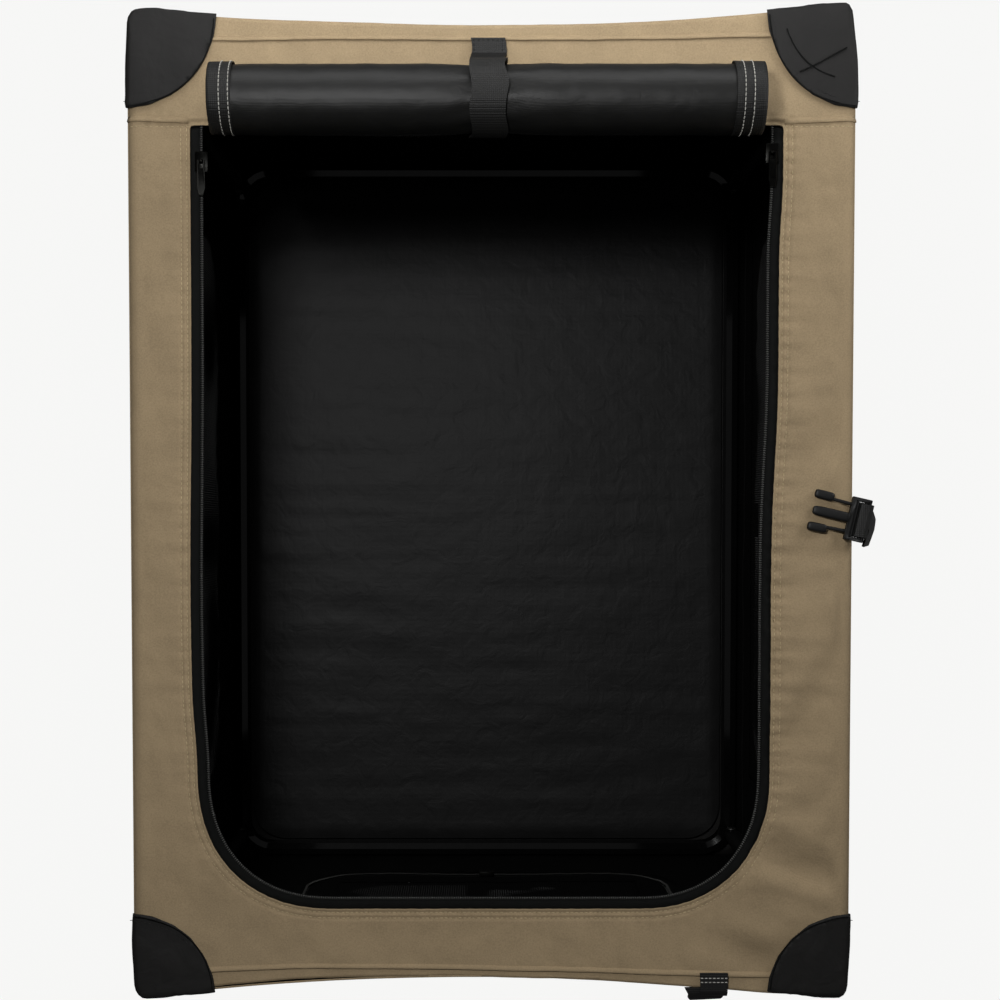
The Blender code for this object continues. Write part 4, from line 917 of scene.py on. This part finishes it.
def capTrimAndShadowLine(name, corner, sx, sy, reach):
    # the bound edge of a top patch, in cloth darker than the patch as a painted shadow line along its
    # border; the rear right one also has a seam and a crease
    def onCap(acrossShare, alongShare):
        x = corner.x - sx * reach[0] * acrossShare
        y = corner.y - sy * (reach[1] * alongShare + bow(x, crate["height"]))
        return Vector((x, y, crate["height"] + 0.0004))

    up = (0, 0, 1)
    turns = [math.radians(3 + 84 * k / 30) for k in range(31)]
    edge = [roundCorner(onCap(1.055 * math.cos(t), 1.055 * math.sin(t))) for t in turns]
    # a dark band just outside the patch: a raised edge, and a painted shadow line along the patch's border
    trim = band(f"{name}Edge", edge, 0.0015, 0.0007, up, finishes["zipTape"])
    if sx < 0 or sy < 0:
        return trim
    seam, crease = [], []
    for t in [k / 20 for k in range(21)]:
        share, turn = 0.88 - 0.07 * t, 0.25 + 0.95 * t
        seam.append(onCap(share * math.cos(turn), share * math.sin(turn)))
        crease.append(onCap(0.70 - 0.54 * t, 0.67 - 0.21 * t + 0.02 * math.sin(3 * t)))
    return joined(
        trim,
        band(f"{name}Seam", seam, 0.0011, 0.0006, up, finishes["zipTape"]),
        band(f"{name}Crease", crease, 0.0022, 0.0008, up, finishes["cap"]),
    )


def makeSides():
    # the side walls, whose lowest strips stay on the base
    outer = (*panels["side"], (0.003,) * 4)
    for side, word in ((-1, "left"), (1, "right")):
        place, out = sidePoint(side), (side, 0, 0)
        counts = (200, 130, 200, 130)
        wall = ringSheet(f"{word}Wall", outer, openings["side"], 26, place, canvas, out, counts)
        fitted(wall, "tan_canvas", None, f"{word}_lower_wall", f"{word}_upper_wall")
        window = meshWindow(
            f"{word}Window", panels["sideWindow"],
            lambda v, w, s=side: Vector((s * (0.2566 + 0.0006 * fractal((s, v, w), 9, 2)), v, w)), out,
        )
        fitted(window, "window_mesh", None, f"{word}_lower_window", f"{word}_upper_window")
        rows = [closedPath(openings["side"], place, hem) for hem in wallHems]
        seams = stitches(f"{word}WallStitches", rows, "seam")
        reach = crate["kneeReach"]
        start, end = [(side * crate["kneeX"], 0, crate["kneeZ"] + step) for step in (-reach, reach)]
        for piece in (wall, window, seams):
            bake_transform(piece)
            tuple(start)
            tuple(end)
        skirt = filledSheet(
            f"{word}Skirt", panels["skirt"], 0.006, lambda v, w, p=place: p(v, w, -0.0009), canvas, out,
            0.0010, 1,
        )
        fitted(skirt, "tan_canvas", "base", f"{word}_skirt")


def crumpled(piece, body):
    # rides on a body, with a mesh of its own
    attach(piece, body)
    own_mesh(piece)


def makeEnds():
    # the front wall round its doorway, and the back wall with its window
    outer = (*panels["end"], (0.003,) * 4)
    for side, word, key, area in ((-1, "front", "door", 0.139), (1, "back", "back", 0.165)):
        place = endPoint(side, openings[key])
        out, counts = (0, side, 0), (150,) * 4
        wall = ringSheet(f"{word}Wall", outer, openings[key], 26, place, canvas, out, counts)
        fitted(wall, "tan_canvas", None, f"{word}_wall")
        rows = [closedPath(openings[key], place, hem) for hem in wallHems]
        rows.append([place(u, w, 0.0001) for u, w in between((-0.2, 0.0450), (0.2, 0.0450), 80)])
        for piece in (wall, stitches(f"{word}WallStitches", rows, "seam")):
            crumpled(piece, "base")
    plain = endPoint(1, openings["back"])
    window = meshWindow("backWindow", panels["backWindow"], lambda u, w: plain(u, w, -0.0013), (0, 1, 0))
    fitted(window, "window_mesh", None, "back_window")
    crumpled(window, "base")


def makeDoor():
    # the front door with its window, and the zip round it
    left, right, low = openings["door"][:3]
    inset, radius, out = door["inset"], door["radius"], (0, -1, 0)
    place = endPoint(-1, openings["door"])

    def edge(grow, lift, top=door["zipTop"]):
        return uPath(openings["door"], place, grow, lift, top)

    outer = (left + inset, right - inset, low + inset, door["top"], (radius, radius, 0.004, 0.004))
    flap = ringSheet(
        "frontDoor", outer, openings["pane"], 14, lambda u, w: place(u, w, -0.0002), canvas, out, (110,) * 4
    )
    fitted(flap, "tan_canvas", None, "front_door")
    pane = meshWindow("frontDoorWindow", panels["doorWindow"], lambda u, w: place(u, w, -0.0013), out)
    fitted(pane, "window_mesh", None, "front_door_window")
    rows = [closedPath(openings["pane"], place, hem) for hem in paneHems]
    rows.append(edge(-0.0150, 0.0001))
    seams = stitches("frontDoorStitches", rows, "seam")
    teeth = stitches("frontDoorCoil", [edge(-0.0106, -0.0002)], "frontCoil")
    for piece in (flap, pane, seams, teeth):
        crumpled(piece, "door")
    tapeTop = door["zipTop"] + 0.0020
    paths = edge(0.0040, -0.0016, tapeTop), edge(-0.0093, -0.0004, tapeTop)
    tape = strip("frontZipTape", *paths, finishes["zipTape"], out, 0.0009)
    fitted(tape, "zip_tape", None, "front_zip_tape")
    outerTeeth = stitches("frontZipCoil", [edge(-0.0086, 0.0002)], "frontCoil")
    insideTeeth = stitches("frontZipInside", [edge(-0.0096, -0.0034)], "insideCoil")
    for piece in (tape, outerTeeth, insideTeeth):
        crumpled(piece, "base")


def rollPoint(x, t, angle, lift=0.0):
    # a point on the rolled door: x along it, t how far out of the roll, and its angle
    fromStrap = x - roll["strapX"]
    waist = 1 - 0.075 * bell(fromStrap, 0.020)
    taper = 1 - 0.03 * smoothStep(abs(x), 0.16, 0.196)
    swell = 1 + 0.012 * noise.noise(Vector((x * 14, angle * 0.4, 2.0)))
    crease = wrinkles["roll"] * fractal((x * 1.6, math.cos(angle) * 0.03, math.sin(angle) * 0.03), 42, 3)
    pull = 0.0010 * pucker(angle * 0.02 + x * 0.1, abs(fromStrap) - 0.014, 0.013, 0.014, 3.0)
    r = (roll["core"] + roll["layer"] * roll["turns"] * t) * waist * taper * swell
    r += (crease + pull) * t + lift
    y, z = r * math.cos(angle) * 1.02, r * math.sin(angle) * 0.99
    return Vector((x, roll["y"] + y, roll["z"] - 0.0004 + z))


def makeRoll():
    # the rolled door: one sheet wound up, its edges a little uneven, drawn in under the strap
    steps, columns = round(roll["turns"] * 44), 100
    left, right = roll["left"], roll["right"]
    rows = []
    for i in range(steps + 1):
        t = i / steps
        angle = -math.pi / 2 - 0.35 - 2 * math.pi * roll["turns"] * (1 - t)
        row = []
        for j in range(columns + 1):
            share = j / columns
            wobble = 0.0009 * noise.noise(Vector((t * 26, 4.0 if share < 0.5 else 9.0, 1.0)))
            row.append(rollPoint(left + (right - left) * share + wobble * (1 - 2 * share), t, angle))
        rows.append(row)
    sheet = gridMesh("rolledTopDoor", rows, False, [finishes["shiny"], finishes["lining"]])
    sheet = thickened(sheet, 0.0013, (0, 0, 1))
    fitted(sheet, "lining", "top_deck", "top_door_roll")
    # two rows of stitches and a webbing binding at each end
    turn = [math.radians(-70 + 320 * k / 69) for k in range(70)]
    rings = [[rollPoint(x, 1.0, angle) for angle in turn] for x in roll["rings"]]
    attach(stitches("rollStitches", rings, "roll"), "top_deck")
    leftEnd, rightStart = roll["bindings"]
    for word, start, end in (("left", left - 0.0004, leftEnd), ("right", rightStart, right + 0.0004)):
        grid = []
        for k in range(71):
            angle = math.radians(-75 + 325 * k / 70)
            grid.append([rollPoint(start + (end - start) * j / 8, 1.0, angle, -0.0003) for j in range(9)])
        edge = gridMesh(f"{word}RollBinding", grid, False, [finishes["webbing"]])
        edge = thickened(edge, 0.0006, (0, 0, 1))
        fitted(edge, "webbing", "top_deck")


def makeRollStrap():
    # the strap round the roll, sewn down behind it
    path = between((0.3305, crate["top"] + 0.0016), (0.3195, crate["top"] + 0.0016), 4)
    for k in range(41):
        angle = math.radians(-16 + 252 * k / 40)
        reach = roll["strapRadius"]
        path.append((roll["y"] + reach * 1.03 * math.cos(angle), roll["z"] + reach * math.sin(angle)))
    x = roll["strapX"]
    path = resampled(path, 100)
    points = [Vector((x + 0.0010 * math.sin(i * 0.27), y, z)) for i, (y, z) in enumerate(path)]
    strap = band("rollStrap", points, roll["strapWidth"], 0.0014, (1, 0, 0), finishes["webbing"], 0.0009)
    fitted(strap, "webbing", "top_deck", "roll_strap")
    # a stitched box where it is sewn to the top, and another on the roll
    left, right, low, high, z = x - 0.0100, x + 0.0100, 0.3190, 0.3290, crate["top"] + 0.0025
    corners = [(left, high, z), (right, high, z), (right, low, z), (left, low, z)]
    box = [between(a, b, 8) for a, b in zip(corners, corners[1:] + corners[:1])]
    half, rim = 0.0098, [(i, points[i] + lifted(points, i, 0.0009)) for i in range(28, 48)]
    for dx in (-half, half):
        box.append([point + Vector((dx, 0, 0)) for i, point in rim])
    for i, point in (rim[0], rim[-1]):
        box.append([point + Vector((half * (k / 4 - 1), 0, 0)) for k in range(9)])
    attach(stitches("strapStitches", box, "strap"), "top_deck")


def lifted(points, i, amount):
    # a small step outwards from a strap's path, square to it
    ahead = (points[min(i + 1, len(points) - 1)] - points[max(i - 1, 0)]).normalized()
    return ahead.cross(Vector((1, 0, 0))).normalized() * amount * -1


def makeTie():
    # the webbing tab at the near edge, and the loop that hangs from it, twisted to one side
    z = crate["top"] + 0.0014
    profile = [(-0.3365, z), (-0.3440, z), (-0.3505, z - 0.0003), (-0.3530, z - 0.0020)]
    profile.append((-0.3538, z - 0.0050))
    points = [Vector((tie["x"], y, h)) for y, h in resampled(profile, 30)]
    tab = band("frontTie", points, tie["width"], 0.0015, (1, 0, 0), finishes["webbing"], 0.0004)
    fall = []
    for k in range(25):
        t = k / 24
        y = -0.3470 - 0.0092 * math.sin(math.pi * 0.5 * min(1.0, t * 1.6))
        fall.append((tie["loopX"] + 0.0010 * math.sin(5 * t), y, z - 0.0018 - 0.0150 * t**2))
    loop = band(
        "frontTieLoop", fall, lambda t: tie["loopWidth"] - 0.0100 * min(1.0, t * 1.5), 0.0030,
        (1.0, 0.05, 0), finishes["webbing"], 0.0005,
    )
    joined(tab, loop)
    fitted(tab, "webbing", "top_deck", "front_tie_loop")
    rows = [between((0.1520, y, z + 0.0009), (0.1695, y, z + 0.0009), 8) for y in tie["rows"]]
    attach(stitches("tieStitches", rows, "tie"), "top_deck")


def onPlug(x, y, z):
    # a point of the straight plug, turned as the plug lies on the top's edge
    centre = Vector((plug["x"], plug["y"], 0))
    return centre + Matrix.Rotation(plug["turn"], 4, "Z") @ (Vector((x, y, z)) - centre)


def plugWay(x, y):
    # a direction along and across the turned plug
    return Matrix.Rotation(plug["turn"], 4, "Z") @ Vector((x, y, 0))


def roundBar(name, start, end, width, height):
    # a bar with rounded ends and edges between two points
    axis = end - start
    across = axis.cross(Vector((0, 0, 1))).normalized()
    rows = []
    for k in range(17):
        turn = math.pi * k / 16
        reach = math.copysign(abs(math.cos(turn)) ** 0.35, -math.cos(turn))
        size = max(0.02, math.sin(turn) ** 0.45)
        ring = []
        for i in range(20):
            angle = 2 * math.pi * i / 20
            side = math.copysign(abs(math.cos(angle)) ** 0.6, math.cos(angle)) * width / 2 * size
            rise = math.copysign(abs(math.sin(angle)) ** 0.6, math.sin(angle)) * height / 2 * size
            ring.append(start + axis * (0.5 + 0.5 * reach) + across * side + Vector((0, 0, rise)))
        rows.append(ring)
    return sealed(gridMesh(name, rows, True, [finishes["plastic"]]))


def makePlug():
    # the plug: its body from the CAD model, with rounded bars in front of it
    body = hardCopy("closure_plug", "closurePlug", finishes["plastic"])
    low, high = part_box("closure_plug")
    middle, tall = (low.z + high.z) / 2, high.z - low.z
    shape = bmesh.new()
    shape.from_mesh(body.data)
    bmesh.ops.bisect_plane(
        shape, geom=shape.verts[:] + shape.edges[:] + shape.faces[:],
        plane_co=onPlug(plug["x"] - 0.0006, plug["y"], 0), plane_no=plugWay(-1, 0), clear_outer=True,
    )
    bmesh.ops.holes_fill(shape, edges=[e for e in shape.edges if e.is_boundary])
    sharp = [e for e in shape.edges if e.is_manifold and e.calc_face_angle() > 0.7]
    bmesh.ops.bevel(shape, geom=sharp, offset=0.0010, segments=3, affect="EDGES", clamp_overlap=True)
    shape.to_mesh(body.data)
    shape.free()
    smoothed(body, 40)
    # for each bar: how far its ends are ahead of the body, their places across it, width, share of height
    bars = [(-0.0030, 0.0260, 0.0, 0.0, 0.0070, 0.86)]
    for side in (-1, 1):
        bars.append((-0.0030, 0.0170, side * 0.0097, side * 0.0104, 0.0025, 0.55))
        bars.append((0.0130, 0.0270, side * 0.0115, side * 0.0119, 0.0064, 0.95))
    made = []
    for start, end, first, second, width, share in bars:
        ends = []
        for ahead, across in ((start, first), (end, second)):
            ends.append(onPlug(plug["x"] - ahead, plug["y"] + across, middle))
        made.append(roundBar(f"plugBar{len(made)}", *ends, width, tall * share))
    fitted(joined(body, *made), "black_plastic", "top_deck")
    made = []
    for x, half in ((0.2572, 0.0135), (0.2655, 0.0140), (0.2670, 0.0140)):
        row = [onPlug(x, plug["y"] + half * (k / 5 - 1), 0.5264) for k in range(11)]
        made.append(band(f"rib{len(made)}", row, 0.0009, 0.0009, plugWay(1, 0), finishes["plastic"]))
    ribs = joined(*made)
    ribs.name = "plugRibs"
    fitted(ribs, "black_plastic", "top_deck")


def makePlugWebbing():
    # the webbing looped through the plug, and its free end
    low, top = crate["top"] + 0.0010, crate["top"] + 0.0083
    front, rear = 0.2590, 0.2694
    profile = [
        (front + 0.0012, top - 0.0012),
        (front + 0.0006, top - 0.0036),
        (front + 0.0016, low + 0.0008),
        (front + 0.0040, low),
        (rear - 0.0060, low + 0.0002),
        (rear - 0.0014, low + 0.0004),
        (rear + 0.0004, low + 0.0030),
        (rear - 0.0002, top - 0.0014),
        (rear - 0.0030, top + 0.0004),
        (front + 0.0040, top + 0.0004),
        (front + 0.0016, top - 0.0002),
    ]
    loop = [onPlug(x, plug["y"], z) for x, z in resampled(profile, 60)]
    strap = band("plugWebbing", loop, plug["webbing"], 0.0012, plugWay(0, 1), finishes["webbing"], 0.0004)
    fitted(strap, "webbing", "top_deck", "closure_plug_strap")
    tail = [
        (0.2662, -0.0020, low + 0.0012),
        (0.2700, -0.0045, low),
        (0.2722, -0.0100, low - 0.0020),
        (0.2724, -0.0170, low - 0.0060),
        (0.2712, -0.0235, low - 0.0100),
        (0.2702, -0.0285, low - 0.0130),
    ]
    hang = band(
        "plugTail", resampled(tail, 40), lambda t: 0.0135 - 0.0030 * t, 0.0016, (0.55, 0.10, -0.83),
        finishes["webbing"], 0.0005,
    )
    fitted(hang, "webbing", "top_deck")


def makeSocket():
    # the socket half, on its short strap at the base
    socket = hardCopy("closure_socket", "closureSocket", finishes["plastic"], 0.0009)
    fitted(socket, "black_plastic", "base")
    x, y = plug["strapX"], plug["y"]
    path = between((x, y, 0.0060), (x, y, 0.0237), 12)
    strap = band("closureStrap", path, 0.0250, 0.0013, (0, 1, 0), finishes["webbing"], 0.0004)
    fitted(strap, "webbing", "base", "closure_strap")


def matPoint(u, v):
    # the mat's top, with its cross wrinkles and a rounded edge
    edge = smoothStep(min(0.2396 - abs(u), 0.3346 - abs(v)), 0.0, 0.012)
    ridge = noise.noise(Vector((u * 7, v * 46, 5.0))) * 0.7
    ridge += noise.noise(Vector((u * 16, v * 90, 1.0))) * 0.3
    rise = ridge * wrinkles["mat"] + fractal((u, v, 2.0), 9, 2) * 0.0005
    return Vector((u, v, 0.0080 + 0.0030 * math.sqrt(edge) + rise * edge))


def makeFloor():
    # the padded mat, and the bottom cloth below it
    loop = loopOf((*panels["mat"], (0.036,) * 4), (140, 190, 140, 190))
    grid = []
    rings = 60
    for r in range(rings + 1):
        share = 1 - r / rings * 0.985
        grid.append([matPoint(u * share, v * share) for u, v in loop])
    mat = gridMesh("floorMat", grid, True, [finishes["mat"]])
    shape = bmesh.new()
    shape.from_mesh(mat.data)
    # the small hole in the middle is closed, and then the rim is carried down to the bottom
    edges = [e for e in shape.edges if e.is_boundary]
    middle = [e for e in edges if e.calc_length() < 0.0005 or abs(e.verts[0].co.x) < 0.01]
    bmesh.ops.holes_fill(shape, edges=middle)
    made = bmesh.ops.extrude_edge_only(shape, edges=[e for e in shape.edges if e.is_boundary])
    for vertex in [v for v in made["geom"] if isinstance(v, bmesh.types.BMVert)]:
        vertex.co.z = 0.0031
    shape.to_mesh(mat.data)
    shape.free()
    smoothed(sealed(mat), 50)
    fitted(mat, "grey_mat", "base", "floor_mat")
    bottom = filledSheet(
        "bottomCloth", panels["bottom"], 0.010,
        lambda u, v: Vector((u, v, 0.0022 + 0.0002 * fractal((u, v, 7.0), 12, 2))),
        [finishes["cap"], finishes["lining"]], (0, 0, 1), 0.0016,
    )
    fitted(bottom, "black_canvas", "base", "floor_panel")


def makeFrame():
    # the enamelled ring, the folding tubes, their rivets, and the sleeves that hold the top
    rows = frame["record"]["behaviour"]["bodies"]
    bodies = {node: body for body, nodes in rows.items() for node in nodes}

    def dress(node, name, finish):
        piece = hardCopy(node, name, finishes[finish], angle=40)
        fitted(piece, "zinc" if finish == "zinc" else "black_steel", bodies[node])

    dress("base_ring", "BaseRingTube", "enamel")
    for side in ("left", "right"):
        dress(f"{side}_upper_hoop", f"{side.title()}UpperHoopTube", "powder")
    for side, sign in (("left", -1), ("right", 1)):
        for end in ("front", "rear"):
            word = f"{side}{end.title()}"
            dress(f"{side}_{end}_lower_post", f"{word}Post", "powder")
            for joint in ("hip", "knee"):
                dress(f"{side}_{end}_{joint}_rivet", f"{word}{joint.title()}Rivet", "zinc")
        middle = (sign * crate["barX"], 0, crate["barZ"])
        sleeve = softCopy(f"{side}_bar_sleeve", f"{side}Sleeve", finishes["lining"], 0.012, 0.0004, middle)
        fitted(sleeve, "black_canvas", "top_deck")


def makeSliders():
    # the three zip sliders and their pulls; the front ones get meshes of their own
    zips = {"top_left": "left_zip", "top_right": "right_zip", "front": "front_zip"}
    for word, body in zips.items():
        kinds = (("slider", body, 0.0005, 2), ("pull", f"{body}_pull", 0.0003, 1))
        for kind, rider, ease, segments in kinds:
            name = f"{word}_{kind}".title().replace("_", "")
            piece = hardCopy(f"{word}_{kind}", name, finishes["nickel"], ease, segments)
            fitted(piece, "black_nickel", None)
            if word == "front":
                crumpled(piece, rider)
            else:
                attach(piece, rider)


def makeStage():
    # the pale floor, which the camera sees evenly lit, the world and three soft lights
    half = 40.0
    mesh = bpy.data.meshes.new("floorPlane")
    corners = [(x * half, y * half, -0.0005) for x, y in ((-1, -1), (1, -1), (1, 1), (-1, 1))]
    mesh.from_pydata(corners, [], [(0, 1, 2, 3)])
    floor = link("studioFloor", mesh)
    material, tree, shader = shaderOf("paleFloor", 0.9)[:3]
    shader.inputs["Base Color"].default_value = colourOf("floor")
    glow = addNode(tree, "ShaderNodeEmission", Strength=1.0, Color=colourOf("floor"))
    rays = addNode(tree, "ShaderNodeLightPath")
    seen = mathNode(tree, "MULTIPLY", rays.outputs["Is Camera Ray"], value=0.98)
    mix = addNode(tree, "ShaderNodeMixShader", {0: seen, 1: shader.outputs[0], 2: glow.outputs[0]})
    tree.links.new(mix.outputs[0], tree.nodes["Material Output"].inputs["Surface"])
    mesh.materials.append(material)
    world = bpy.data.worlds.new("studioWorld")
    bpy.context.scene.world = world
    world.use_nodes = True
    back = world.node_tree.nodes["Background"]
    back.inputs["Color"].default_value = (1.0, 1.0, 1.0, 1.0)
    back.inputs["Strength"].default_value = 0.085
    for name, (place, aim, power, size) in lamps.items():
        data = bpy.data.lights.new(name, "AREA")
        data.shape = "RECTANGLE"
        data.size, data.size_y = size
        data.energy = power
        lamp = link(name, data)
        lamp.location = place
        lamp.rotation_euler = (Vector(aim) - Vector(place)).to_track_quat("-Z", "Y").to_euler()


def makeCamera():
    data = bpy.data.cameras.new("topCamera")
    data.lens = view["lens"]
    data.sensor_width = 36
    data.clip_end = 100
    data.shift_x, data.shift_y = view["shift"]
    camera = link("topCamera", data)
    camera.location = (view["x"], view["y"], crate["top"] + view["above"])
    camera.rotation_euler = (math.radians(view["tilt"]), 0, 0)
    bpy.context.scene.camera = camera


bpy.context.scene.view_settings.view_transform = "Standard"
finishes = makeMaterials()
# the tan canvas with its coated inside
canvas = [finishes["tan"], finishes["lining"]]
stitchNodes = stitchTree()
print("materials made")
makeStage()
makeCamera()
makeFrame()
makeSliders()
print("frame and zips made")
makeTop()
makeCaps()
print("top and caps made")
makeSides()
makeEnds()
makeDoor()
print("walls made")
makeRoll()
makeRollStrap()
makeTie()
makePlug()
makePlugWebbing()
makeSocket()
makeFloor()
print("roll, straps and floor made")
